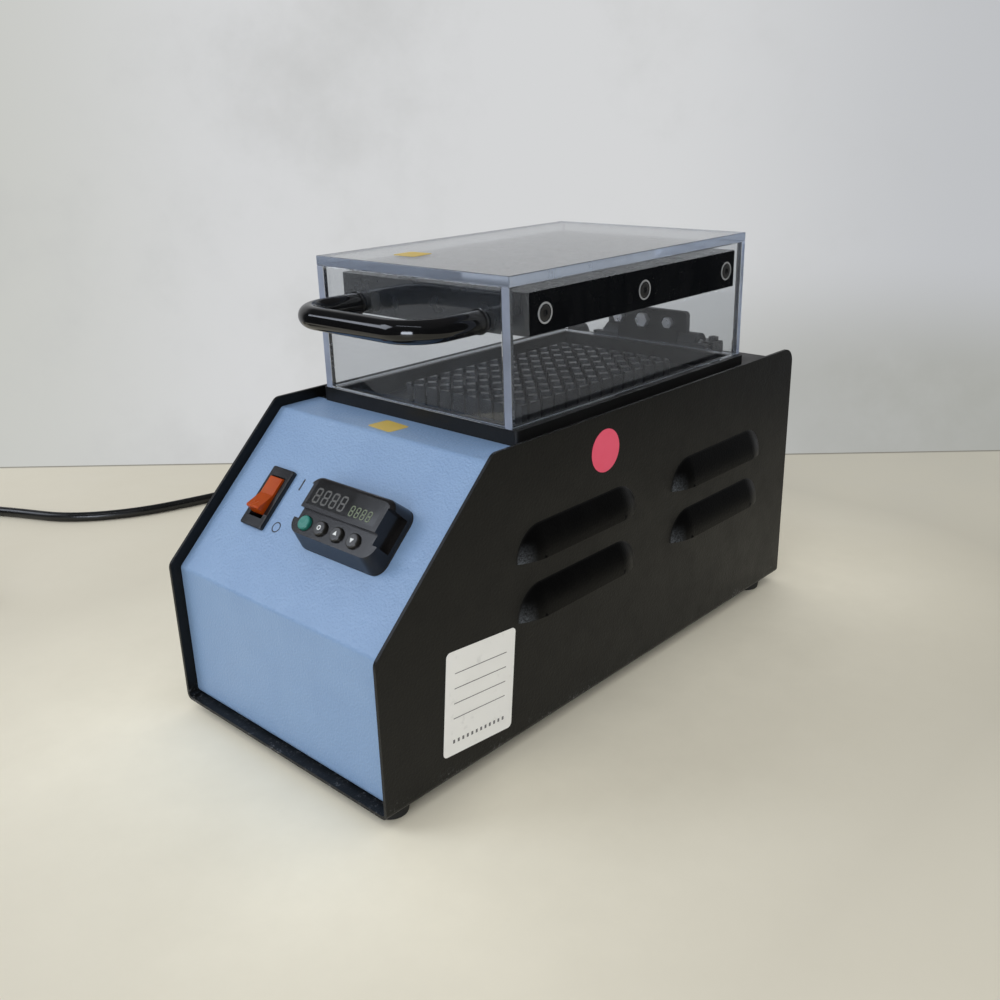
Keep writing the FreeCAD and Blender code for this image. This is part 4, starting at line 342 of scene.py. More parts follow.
@dataclass(frozen=True)
class Finish:
    """A plain coated, moulded or ground surface with grain and patches.

    Patch and grain are scales of a noise, and a form is a noise's detail and roughness.
    """

    name: str
    colour: Colour
    second: Colour
    rough: Pair = (0.4, 0.55)
    patch: float = 30.0
    grain: float = 1800.0
    depth: float = 0.25
    grain_height: float = 0.0002
    metal: float = 0.0
    level: float = 0.5
    coat: float = 0.0
    coat_rough: float = 0.08
    patch_form: Pair = (4.0, 0.6)
    gloss_scale: float = 3.0
    gloss_detail: float = 3.0

    def base(self) -> Recipe:
        """Write the colour, gloss and grain.

        Returns:
            The recipe, open for more.
        """
        recipe = Recipe(self.name)
        recipe.set(Metallic=self.metal, Specular_IOR_Level=self.level,
                   Coat_Weight=self.coat, Coat_Roughness=self.coat_rough)
        patches = recipe.noise(self.patch, *self.patch_form)
        recipe.steer("Base Color", recipe.blend(recipe.ranged(patches, 0.0, 1.0), self.colour, self.second))
        glosses = recipe.noise(self.patch * self.gloss_scale, self.gloss_detail)
        recipe.steer("Roughness", recipe.ranged(glosses, *self.rough))
        recipe.bump(recipe.noise(self.grain), self.depth, self.grain_height)
        return recipe

    def build(self) -> bpy.types.Material:
        """Give the finished material."""
        return self.base().material


@dataclass(frozen=True)
class PowderCoat(Finish):
    """Powder coating with a fine pebbled grain, pale dust and scuffs near the table."""

    dust: Colour = (0.20, 0.20, 0.19)
    dust_low: float = 0.004
    dust_top: float = 0.030
    specks: Noise = (700.0, 5.0, 0.75)
    speck_fade: Pair = (0.54, 0.66)
    smears: Noise = (70.0, 4.0, 0.7)
    smear_fade: Pair = (0.46, 0.66)
    pebble: float = 620.0
    pebble_form: Pair = (1.0, 0.4)
    pebble_depth: float = 0.5
    pebble_height: float = 0.00025

    def coated(self) -> Recipe:
        """Write the pebbles, dust and scuffs.

        Returns:
            The recipe, open for more.
        """
        recipe = self.base()
        pebbles = recipe.noise(self.pebble, *self.pebble_form)
        recipe.bump(pebbles, self.pebble_depth, self.pebble_height)
        low = recipe.ranged(recipe.axis("Z"), 1.0, 0.0, self.dust_low, self.dust_top)
        specks = recipe.ranged(recipe.noise(*self.specks), 0.0, 1.0, *self.speck_fade)
        smears = recipe.ranged(recipe.noise(*self.smears), 0.0, 1.0, *self.smear_fade)
        recipe.cover(recipe.math("MULTIPLY", low, recipe.math("MULTIPLY", specks, smears)), self.dust)
        return recipe

    def build(self) -> bpy.types.Material:
        """Give the finished coating."""
        return self.coated().material


@dataclass(frozen=True)
class LouvredCoat(PowderCoat):
    """The case's coating, less glossy on the pressed louvres, darkened there by painted shade, and with a
    speckled painted highlight at their front ends.

    Each pair of lengths says where a change starts and ends, from the side, a louvre's front
    end or its mouth.
    """

    side: float = 0.0725
    starts: tuple[float, ...] = (-0.0760, 0.0385)
    mouths: tuple[float, ...] = (0.0615, 0.0890)
    bulge_foot: Pair = (0.0001, 0.0006)
    end_edge: Pair = (-0.0020, 0.0010)
    end_fade: Pair = (0.0005, 0.0095)
    mouth_edge: Pair = (-0.0010, 0.0)
    mouth_fade: Pair = (0.0005, 0.0090)
    bulge_gloss: float = 0.55
    # Painted shade on the louvre bulges, and a speckled painted highlight at their front ends near the
    # mouths.
    louvre_painted_shade: Colour = (0.0012, 0.0012, 0.0012)
    louvre_painted_highlight: Colour = (0.14, 0.155, 0.175)
    highlight_specks: Noise = (1100.0, 4.0, 0.7)
    highlight_speck_fade: Pair = (0.32, 0.74)

    def bands(self, recipe: Recipe, name: str, starts: tuple[float, ...], edge: Pair,
              fade: Pair) -> bpy.types.NodeSocket:
        """Mark a band behind each of several places on one axis.

        Args:
            recipe: The open recipe.
            name: The axis.
            starts: The places.
            edge: Where a band comes up, from its place.
            fade: Where it dies away, from its place.

        Returns:
            1 in a band and 0 outside them.
        """
        spot, total = recipe.axis(name), None
        for start in starts:
            away = recipe.ranged(spot, 1.0, 0.0, start + fade[0], start + fade[1])
            rising = recipe.ranged(spot, 0.0, 1.0, start + edge[0], start + edge[1])
            band = recipe.math("MULTIPLY", away, rising)
            total = band if total is None else recipe.math("ADD", total, band)
        return total

    def build(self) -> bpy.types.Material:
        """Paint shade on the louvres and a speckled highlight on their front ends.

        Returns:
            The finished coating.
        """
        recipe = self.coated()
        foot = tuple(self.side + reach for reach in self.bulge_foot)
        outward = recipe.math("ABSOLUTE", recipe.axis("X"))
        bulge = recipe.ranged(outward, 0.0, 1.0, *foot)
        gloss = recipe.ranged(outward, self.level, self.level * self.bulge_gloss, *foot)
        recipe.steer("Specular IOR Level", gloss)
        ends = self.bands(recipe, "Y", self.starts, self.end_edge, self.end_fade)
        rows = self.bands(recipe, "Z", self.mouths, self.mouth_edge, self.mouth_fade)
        specks = recipe.ranged(recipe.noise(*self.highlight_specks), 0.0, 1.0, *self.highlight_speck_fade)
        painted_highlight_mask = recipe.math("MULTIPLY", recipe.math("MULTIPLY", ends, rows),
                           recipe.math("MULTIPLY", bulge, specks))
        # Painted shade over the bulges, then the speckled painted highlight at the louvres' front ends.
        recipe.cover(bulge, self.louvre_painted_shade)
        recipe.cover(painted_highlight_mask, self.louvre_painted_highlight)
        return recipe.material


@dataclass(frozen=True)
class GroundMetal(Finish):
    """Ground, drawn or plated metal with a directional grain."""

    run: Run = Run.ALONG_Y
    lines: Noise = (90.0, 3.0, 0.6)
    line_depth: float = 0.15
    line_height: float = 0.0001

    def build(self) -> bpy.types.Material:
        """Draw the grinding lines.

        Returns:
            The finished metal.
        """
        recipe = self.base()
        lines = recipe.noise(*self.lines, recipe.stretched(self.run.value))
        recipe.bump(lines, self.line_depth, self.line_height)
        return recipe.material


@dataclass(frozen=True)
class ClearSheet:
    """Clear acrylic with a polished face, faint haze and fine wiping scratches."""

    name: str
    tint: Colour
    haze: Colour
    haze_share: Pair
    rough: float = 0.02
    level: float = 0.5
    index: float = 1.49
    wave: float = 14.0
    wave_depth: float = 0.03
    wave_height: float = 0.0004
    wipes: Noise = (26.0, 5.0, 0.7)
    wipe_run: Spot = (1.0, 5.0, 1.0)
    wipe_fade: Pair = (0.35, 0.75)

    def build(self) -> bpy.types.Material:
        """Mix the clear plastic with its haze, and let lamps through it for shadow rays.

        Returns:
            The finished plastic.
        """
        recipe = Recipe(self.name)
        recipe.set(Base_Color=(*self.tint, 1.0), IOR=self.index, Transmission_Weight=1.0,
                   Roughness=self.rough, Specular_IOR_Level=self.level)
        recipe.bump(recipe.noise(self.wave), self.wave_depth, self.wave_height)
        film = recipe.node("ShaderNodeBsdfDiffuse")
        film.inputs["Color"].default_value = (*self.haze, 1.0)
        wipes = recipe.noise(*self.wipes, recipe.stretched(self.wipe_run))
        share = recipe.ranged(wipes, *self.haze_share, *self.wipe_fade)
        hazed = recipe.mixed(share, recipe.shader.outputs[0], film.outputs[0])
        clear = recipe.node("ShaderNodeBsdfTransparent")
        clear.inputs["Color"].default_value = (*self.tint, 1.0)
        shadow = recipe.node("ShaderNodeLightPath").outputs["Is Shadow Ray"]
        recipe.link(recipe.mixed(shadow, hazed, clear.outputs[0]), recipe.output.inputs["Surface"])
        return recipe.material


@dataclass(frozen=True)
class TintedMoulding(Finish):
    """A translucent coloured moulding, lit a little from inside its own colour."""

    deep: float = 0.2
    reach: float = 0.003
    reach_shares: Colour = (1.0, 0.35, 0.2)

    def build(self) -> bpy.types.Material:
        """Scatter light under the moulding's skin.

        Returns:
            The finished moulding.
        """
        recipe = self.base()
        recipe.set(Subsurface_Weight=self.deep, Subsurface_Scale=self.reach,
                   Subsurface_Radius=self.reach_shares)
        return recipe.material


@dataclass(frozen=True)
class PlugMoulding(Finish):
    """Black plug body with bright pins above its face."""

    face: float = 0.0212
    edge: float = 0.0002
    pin: Colour = (0.72, 0.60, 0.34)

    def build(self) -> bpy.types.Material:
        """Turn the moulding to metal above the face of the plug.

        Returns:
            The finished moulding.
        """
        recipe = self.base()
        high = recipe.ranged(recipe.axis("Z"), 0.0, 1.0, self.face, self.face + self.edge)
        recipe.cover(high, self.pin)
        recipe.steer("Metallic", high)
        return recipe.material


@dataclass(frozen=True)
class PaperLabel(Finish):
    """Coated paper with faint grey handling marks."""

    mark: Colour = (0.30, 0.30, 0.31)
    strongest: float = 0.35
    smudges: Noise = (160.0, 5.0, 0.7)
    smudge_fade: Pair = (0.60, 0.80)

    def build(self) -> bpy.types.Material:
        """Smudge the paper.

        Returns:
            The finished paper.
        """
        recipe = self.base()
        smudges = recipe.ranged(recipe.noise(*self.smudges), 0.0, self.strongest, *self.smudge_fade)
        recipe.cover(smudges, self.mark)
        return recipe.material


FINISHES: tuple[Finish | ClearSheet, ...] = (
    LouvredCoat("case_black", (0.0032, 0.0032, 0.0030), (0.0046, 0.0046, 0.0043), (0.34, 0.44), level=0.27,
                depth=0.15, pebble=1000.0, pebble_depth=0.7, pebble_height=0.00012, dust=(0.30, 0.31, 0.33),
                dust_top=0.013),
    PowderCoat("panel_blue", photo_colour(123, 151, 187), photo_colour(129, 157, 192), (0.32, 0.40),
               level=0.40, depth=0.10, pebble=900.0, pebble_depth=1.0, pebble_height=0.00026,
               dust=(0.55, 0.57, 0.60), dust_top=0.020),
    PowderCoat("frame_black", (0.008, 0.008, 0.008), (0.012, 0.012, 0.012), (0.36, 0.48), level=0.28,
               pebble=1500.0, pebble_height=0.00012),
    Finish("dark_rubber", (0.016, 0.016, 0.016), (0.026, 0.026, 0.025), (0.65, 0.8), level=0.3),
    Finish("black_anodised", (0.020, 0.021, 0.023), (0.030, 0.031, 0.033), (0.32, 0.42), grain=2600.0,
           depth=0.3, level=0.5),
    Finish("heater_silicone", (0.34, 0.07, 0.035), (0.42, 0.10, 0.05), (0.6, 0.7), grain=900.0),
    Finish("insulation", (0.66, 0.64, 0.58), (0.75, 0.73, 0.68), (0.85, 0.95), grain=420.0, depth=0.9),
    GroundMetal("plated_steel", (0.50, 0.50, 0.48), (0.60, 0.59, 0.54), (0.28, 0.42), metal=1.0,
                run=Run.ALONG_X),
    GroundMetal("stainless", (0.56, 0.56, 0.57), (0.66, 0.66, 0.66), (0.22, 0.34), metal=1.0),
    Finish("relay_plastic", (0.020, 0.020, 0.022), (0.030, 0.030, 0.032), (0.25, 0.38)),
    GroundMetal("brass", (0.66, 0.48, 0.20), (0.74, 0.56, 0.27), (0.25, 0.38), metal=1.0),
    Finish("pale_plastic", (0.62, 0.60, 0.52), (0.70, 0.68, 0.60), (0.4, 0.5), depth=0.1),
    Finish("black_plastic", (0.014, 0.014, 0.015), (0.022, 0.022, 0.023), (0.42, 0.55), grain=1400.0,
           depth=0.35, level=0.4),
    Finish("black_screw", (0.020, 0.020, 0.021), (0.045, 0.044, 0.042), (0.30, 0.42), metal=0.4),
    Finish("black_gloss", (0.010, 0.010, 0.011), (0.015, 0.015, 0.016), (0.16, 0.26), depth=0.05,
           level=0.5),
    TintedMoulding("rocker_orange", photo_colour(148, 54, 8), photo_colour(168, 70, 12), (0.20, 0.28),
                   depth=0.04, level=0.35),
    Finish("smoke_plastic", (0.0080, 0.0074, 0.0074), (0.013, 0.012, 0.012), (0.16, 0.26), grain=1200.0,
           depth=0.12, level=0.4),
    Finish("smoke_window", (0.010, 0.010, 0.010), (0.014, 0.014, 0.014), (0.08, 0.14), grain=300.0,
           depth=0.02, coat=0.2),
    Finish("key_teal", photo_colour(28, 108, 98), photo_colour(38, 122, 110), (0.25, 0.35), depth=0.1),
    Finish("key_grey", photo_colour(34, 33, 32), photo_colour(44, 43, 41), (0.20, 0.30), depth=0.1),
    ClearSheet("clear_acrylic", (0.85, 0.865, 0.88), (0.62, 0.64, 0.66), (0.0, 0.008), level=0.16),
    ClearSheet("cover_lid", (0.88, 0.895, 0.91), (0.62, 0.64, 0.66), (0.004, 0.030)),
    ClearSheet("front_sheet", (0.85, 0.865, 0.88), (0.42, 0.48, 0.56), (0.003, 0.018)),
    ClearSheet("acrylic_edge", (0.74, 0.81, 0.91), (0.27, 0.31, 0.39), (0.34, 0.56), 0.12),
    ClearSheet("acrylic_post", (0.80, 0.86, 0.94), (0.41, 0.46, 0.58), (0.50, 0.68), 0.14),
    ClearSheet("acrylic_rim", (0.80, 0.84, 0.90), (0.60, 0.64, 0.70), (0.85, 1.0), 0.2),
    ClearSheet("glued_joint", (0.80, 0.84, 0.90), (0.34, 0.37, 0.43), (0.10, 0.28), 0.08),
    Finish("slab_black", (0.0030, 0.0036, 0.0046), (0.0052, 0.0060, 0.0072), (0.20, 0.30), grain=1500.0,
           depth=0.12),
    Finish("handle_black", (0.0030, 0.0030, 0.0032), (0.0048, 0.0048, 0.0052), (0.06, 0.11), grain=220.0,
           depth=0.05),
    Finish("hinge_black", (0.016, 0.016, 0.018), (0.026, 0.026, 0.028), (0.30, 0.45), level=0.5),
    Finish("cord_black", (0.0045, 0.0045, 0.0045), (0.0075, 0.0075, 0.0075), (0.24, 0.34), grain=900.0,
           depth=0.15),
    PlugMoulding("plug_black", (0.012, 0.012, 0.012), (0.020, 0.020, 0.020), (0.42, 0.52), grain=1100.0,
                 depth=0.3),
    PaperLabel("sticker_white", photo_colour(238, 238, 236), photo_colour(243, 243, 241), (0.38, 0.48),
               grain=700.0, depth=0.05),
    Finish("sticker_pink", photo_colour(234, 76, 106), photo_colour(240, 90, 120), (0.40, 0.50),
           grain=700.0, depth=0.05),
    Finish("sticker_yellow", photo_colour(204, 172, 70), photo_colour(212, 182, 84), (0.35, 0.5),
           grain=700.0, depth=0.05),
    Finish("ink_black", (0.018, 0.019, 0.022), (0.030, 0.031, 0.034), (0.5, 0.6), depth=0.05),
    Finish("ink_grey", (0.13, 0.13, 0.135), (0.17, 0.17, 0.175), (0.5, 0.6), depth=0.05),
    Finish("segment_grey", photo_colour(66, 65, 62), photo_colour(80, 79, 75), (0.3, 0.4), depth=0.03),
    Finish("segment_green", photo_colour(80, 88, 66), photo_colour(98, 110, 78), (0.3, 0.4), depth=0.03),
    Finish("key_mark", photo_colour(206, 208, 206), photo_colour(222, 224, 222), (0.4, 0.5), depth=0.03),
    Finish("frosted", (0.20, 0.21, 0.22), (0.34, 0.35, 0.36), (0.35, 0.55), grain=1500.0, depth=0.3),
    Finish("strap", (0.014, 0.014, 0.016), (0.028, 0.028, 0.030), (0.8, 0.95), grain=1300.0, depth=0.9,
           level=0.2),
)


class Palette:
    """The finishes as materials, each built once."""

    def __init__(self) -> None:
        """Build every finish."""
        self.materials = {finish.name: finish.build() for finish in FINISHES}

    def dress(self, piece: bpy.types.Object, name: str) -> None:
        """Put a finish on every material slot of a piece.

        Args:
            piece: The piece.
            name: The finish.
        """
        if not piece.material_slots:
            piece.data.materials.append(self.materials[name])
        for slot in piece.material_slots:
            slot.material = self.materials[name]


# Modelling by hand


def chosen(piece: bpy.types.Object) -> None:
    """Make one piece the only selected and active one.

    Args:
        piece: The piece.
    """
    bpy.ops.object.select_all(action="DESELECT")
    piece.select_set(True)
    bpy.context.view_layer.objects.active = piece


@contextmanager
def editing(piece: bpy.types.Object) -> Iterator[None]:
    """Open a piece in edit mode with nothing selected, and close it afterwards.

    Args:
        piece: The piece to edit.

    Yields:
        Nothing, while the piece is open.
    """
    chosen(piece)
    bpy.ops.object.mode_set(mode="EDIT")
    bpy.ops.mesh.select_all(action="DESELECT")
    yield
    bpy.ops.object.mode_set(mode="OBJECT")


def pick(piece: bpy.types.Object, test: Callable[[Vector, Vector], bool], kind: Kind = Kind.FACE) -> int:
    """Select parts of the piece in edit mode by their place.

    Args:
        piece: The piece that is open in edit mode.
        test: Takes a part's middle and its normal or direction, and says whether to select it.
        kind: Which parts are tested.

    Returns:
        How many parts are selected.
    """
    bpy.ops.mesh.select_mode(type=kind.value)
    bpy.ops.mesh.select_all(action="DESELECT")
    mesh = bmesh.from_edit_mesh(piece.data)
    if kind is Kind.FACE:
        parts = [(face, face.calc_center_median(), face.normal) for face in mesh.faces]
    elif kind is Kind.EDGE:
        ends = [(edge, *(vertex.co for vertex in edge.verts)) for edge in mesh.edges]
        parts = [(edge, (start + end) / 2, (end - start).normalized()) for edge, start, end in ends]
    else:
        parts = [(vertex, vertex.co, vertex.normal) for vertex in mesh.verts]
    hits = [part for part, middle, way in parts if test(middle, way)]
    for part in hits:
        part.select_set(True)
    mesh.select_flush_mode()
    bmesh.update_edit_mesh(piece.data)
    return len(hits)


def everything(spot: Vector, normal: Vector) -> bool:
    """Take every part."""
    return True


def started(name: str, add: Callable[..., object], **options: object) -> bpy.types.Object:
    """Add a primitive with nothing else selected, and name it.

    Args:
        name: The piece's name.
        add: The operator that adds it.
        **options: The operator's options.

    Returns:
        The new object.
    """
    bpy.ops.object.select_all(action="DESELECT")
    add(**options)
    piece = bpy.context.active_object
    piece.name = name
    piece.data.name = name
    return piece


def settle(piece: bpy.types.Object, place: Matrix | None = None) -> bpy.types.Object:
    """Move a piece to its place and put that place into its mesh.

    Args:
        piece: The piece.
        place: Where it goes, or None when it is there.

    Returns:
        The piece, with its object at the origin.
    """
    chosen(piece)
    if place is not None:
        piece.matrix_world = place @ piece.matrix_world
    bpy.ops.object.transform_apply(location=True, rotation=True, scale=True)
    return piece


def hardened(piece: bpy.types.Object, kind: str, **options: object) -> None:
    """Add a modifier to a piece and apply it.

    Args:
        piece: The piece.
        kind: The modifier's type name.
        **options: Its settings.
    """
    chosen(piece)
    modifier = piece.modifiers.new(kind.lower(), kind)
    for key, value in options.items():
        setattr(modifier, key, value)
    bpy.ops.object.modifier_apply(modifier=modifier.name)


def copied(piece: bpy.types.Object, name: str, shift: Spot) -> bpy.types.Object:
    """Copy a piece with its own mesh.

    Args:
        piece: The piece to copy.
        name: The copy's name.
        shift: How far it is moved.

    Returns:
        The copy.
    """
    chosen(piece)
    bpy.ops.object.duplicate()
    other = bpy.context.active_object
    other.name = name
    other.data.name = name
    bpy.ops.transform.translate(value=shift)
    return other


def joined(pieces: list[bpy.types.Object], name: str) -> bpy.types.Object:
    """Join pieces into one and name it.

    Args:
        pieces: The pieces.
        name: The name of the whole.

    Returns:
        The whole.
    """
    bpy.ops.object.select_all(action="DESELECT")
    for piece in pieces:
        piece.select_set(True)
    bpy.context.view_layer.objects.active = pieces[0]
    bpy.ops.object.join()
    whole = bpy.context.active_object
    whole.name = name
    whole.data.name = name
    return whole


def handed(piece: bpy.types.Object, body: str) -> bpy.types.Object:
    """Let a finished piece ride on its body.

    Args:
        piece: The piece.
        body: The body that carries it.

    Returns:
        The piece.
    """
    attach(piece, body)
    return piece


def faced_outwards() -> None:
    """Turn all faces of the open mesh outwards."""
    bpy.ops.mesh.select_all(action="SELECT")
    bpy.ops.mesh.normals_make_consistent(inside=False)


def thickened(thick: float) -> None:
    """Pull the open flat mesh up to a plate.

    Args:
        thick: The plate's thickness.
    """
    bpy.ops.mesh.select_all(action="SELECT")
    bpy.ops.mesh.extrude_region_move(TRANSFORM_OT_translate={"value": (0.0, 0.0, thick)})
    faced_outwards()


def hollowed(rim: float) -> None:
    """Cut the open flat mesh away inside its rim.

    Args:
        rim: Width of the rim that stays.
    """
    bpy.ops.mesh.select_all(action="SELECT")
    bpy.ops.mesh.inset(thickness=rim, depth=0.0)
    bpy.ops.mesh.delete(type="FACE")


def thin_plate(name: str, size: Pair, corner: float, thick: float, segments: int = 5,
               rim: float = 0.0) -> bpy.types.Object:
    """Model a flat plate on the XY plane, its back at z = 0.

    Args:
        name: The piece's name.
        size: Its sizes along X and Y.
        corner: Radius of its corners, or 0 for square ones.
        thick: Height of its face.
        segments: Straight parts of each corner.
        rim: Width of the rim round its opening, or 0 for a closed plate.

    Returns:
        The plate.
    """
    plate = started(name, bpy.ops.mesh.primitive_plane_add, size=1.0)
    plate.scale = (*size, 1.0)
    settle(plate)
    with editing(plate):
        pick(plate, everything, Kind.VERTEX)
        if corner > 0.0:
            bpy.ops.mesh.bevel(offset=corner, segments=segments, affect="VERTICES")
        if rim > 0.0:
            hollowed(rim)
        thickened(thick)
    return plate


def flat_ring(name: str, radius: float, bore: float, thick: float, sides: int = 40) -> bpy.types.Object:
    """Model a flat ring on the XY plane, its back at z = 0.

    Args:
        name: The piece's name.
        radius: Outer radius.
        bore: Inner radius.
        thick: Height of its face.
        sides: Straight sides of its rims.

    Returns:
        The ring.
    """
    ring = started(name, bpy.ops.mesh.primitive_circle_add, radius=radius, vertices=sides, fill_type="NGON")
    with editing(ring):
        hollowed(radius - bore)
        thickened(thick)
    return ring


def turned(angle: float) -> Matrix:
    """Give a turn about Z, in radians."""
    return Matrix.Rotation(angle, 4, "Z")


def upright(side: float, across: float, height: float, facing: int = 1) -> Matrix:
    """Give the place of a mark on a side of the case or the cover.

    Args:
        side: X of the side.
        across: Y of the mark's middle.
        height: Z of the mark's middle.
        facing: 1 on the right-hand side and -1 on the left-hand one.

    Returns:
        The matrix that stands it up there, from the XY plane.
    """
    return Matrix(((0, 0, facing, side), (facing, 0, 0, across), (0, 1, 0, height), (0, 0, 0, 1)))


# The frame's own nodes


@dataclass
class Casework:
    """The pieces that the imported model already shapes, each with its finish."""

    own: dict[str, str] = field(default_factory=lambda: {
        "handle_washers": "black_gloss", "hinge_leaf_screws": "stainless"})

    def dress(self, palette: Palette) -> None:
        """Give every node its own finish, or else the finish of its slot in the record.

        Args:
            palette: The finishes.
        """
        slots = {part["node"]: part["material_slot"] for part in frame["record"]["subparts"]}
        for name, node in frame["nodes"].items():
            palette.dress(node, self.own.get(name, slots[name]))
        LOG.info("casework: %d nodes dressed", len(slots))


@dataclass
class ControlSlope:
    """The sloping control panel, with its coordinates across, along and out of it."""

    rise: float = 0.0655
    run: float = 0.0675
    inset: float = 0.005
    nose: float = 0.0755
    half_depth: float = 0.155

    def place(self, across: float, along: float, out: float) -> Matrix:
        """Give the place of a mark that was modelled on the XY plane.

        Args:
            across: Metres to the right of the middle.
            along: Metres up the slope from its lower corner.
            out: Metres above the painted panel.

        Returns:
            The matrix that lays it on the slope.
        """
        length = math.hypot(self.rise, self.run)
        sine, cosine = self.rise / length, self.run / length
        back = self.inset - out
        corner = Vector((across, back * sine + along * cosine - self.half_depth,
                         self.nose - back * cosine + along * sine))
        turn = Matrix(((1, 0, 0), (0, cosine, -sine), (0, sine, cosine))).to_4x4()
        return Matrix.Translation(corner) @ turn


@dataclass
class PanelMarks:
    """The printed on and off marks beside the rocker switch."""

    slope: ControlSlope
    across: float = -0.0258
    line_along: float = 0.0580
    line_size: Pair = (0.0009, 0.0058)
    line_corner: float = 0.0002
    ring_along: float = 0.0357
    ring_radius: float = 0.0026
    stroke: float = 0.00055
    ink: float = 0.00006

    def build(self, palette: Palette) -> None:
        """Print the line and the ring.

        Args:
            palette: The finishes.
        """
        line = thin_plate("on_mark", self.line_size, self.line_corner, self.ink)
        ring = flat_ring("off_mark", self.ring_radius, self.ring_radius - self.stroke, self.ink)
        for mark, along in ((line, self.line_along), (ring, self.ring_along)):
            settle(mark, self.slope.place(self.across, along, 0.0))
            palette.dress(mark, "ink_black")
            handed(mark, "case")
        LOG.info("panel marks: 2 pieces")


@dataclass
class ControlSeal:
    """The round-cornered rubber seal between the controller's bezel and the panel."""

    slope: ControlSlope
    middle: Pair = (0.0205, 0.0470)
    size: Pair = (0.0540, 0.0310)
    corner: float = 0.0060
    corner_steps: int = 8
    land: float = 0.0030
    thick: float = 0.0010

    def build(self, palette: Palette) -> None:
        """Cut the seal and lay it on the panel.

        Args:
            palette: The finishes.
        """
        seal = thin_plate("rounded_seal", self.size, self.corner, self.thick, self.corner_steps, self.land)
        settle(seal, self.slope.place(*self.middle, 0.0))
        palette.dress(seal, "dark_rubber")
        handed(seal, "case")
        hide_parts("controller_seal")
        LOG.info("controller seal: 1 piece")


@dataclass(frozen=True)
class FigureRow:
    """One row of figures, from its first place across and along the slope."""

    name: str
    finish: str
    first: Pair
    pitch: float
    width: float
    height: float
    stroke: float
    count: int = 4


@dataclass
class SegmentDisplay:
    """Rows of seven-segment figures behind the window of the controller."""

    slope: ControlSlope
    face: float = 0.01272
    ink: float = 0.00005
    point_share: float = 0.46
    gap_share: float = 0.18
    rows: tuple[FigureRow, ...] = (
        FigureRow("display_large", "segment_grey", (0.0030, 0.0524), 0.00543, 0.0031, 0.0064, 0.00085),
        FigureRow("display_small", "segment_green", (0.0264, 0.0509), 0.00353, 0.0019, 0.0043, 0.00055))

    def segment(self, row: FigureRow, size: Pair, spot: Pair) -> bpy.types.Object:
        """Model one pointed segment.

        Args:
            row: The row that it belongs to.
            size: Its sizes along X and Y.
            spot: Its middle.

        Returns:
            The segment.
        """
        bar = thin_plate(row.name, size, row.stroke * self.point_share, self.ink, segments=1)
        return settle(bar, Matrix.Translation((*spot, 0.0)))

    def figure(self, row: FigureRow) -> bpy.types.Object:
        """Model one figure with all seven segments, centred on the XY plane.

        Args:
            row: The row that it belongs to.

        Returns:
            The figure as one mesh.
        """
        gap = row.stroke * self.gap_share
        flat = (row.width - gap, row.stroke)
        tall = (row.stroke, row.height / 2 - gap)
        bars = [self.segment(row, flat, (0.0, level)) for level in (-row.height / 2, 0.0, row.height / 2)]
        bars += [self.segment(row, tall, (side, level)) for side in (-row.width / 2, row.width / 2)
                 for level in (-row.height / 4, row.height / 4)]
        return joined(bars, row.name)

    def lay(self, row: FigureRow) -> bpy.types.Object:
        """Model a row of figures on the display face.

        Args:
            row: The row.

        Returns:
            The row as one mesh, in its place.
        """
        figure = self.figure(row)
        figures = [figure] + [copied(figure, f"{row.name}_{step}", (row.pitch * step, 0.0, 0.0))
                              for step in range(1, row.count)]
        return settle(joined(figures, row.name), self.slope.place(*row.first, self.face))

    def build(self, palette: Palette) -> None:
        """Build the large and the small row.

        Args:
            palette: The finishes.
        """
        pieces = [self.lay(row) for row in self.rows]
        for piece, row in zip(pieces, self.rows):
            palette.dress(piece, row.finish)
            handed(piece, "case")
        LOG.info("display: 2 rows of figures")


@dataclass(frozen=True)
class Patch:
    """A small round-cornered patch, from its middle and its turn in radians."""

    name: str
    size: Pair
    middle: Spot
    turn: float
    body: str
    slot: str


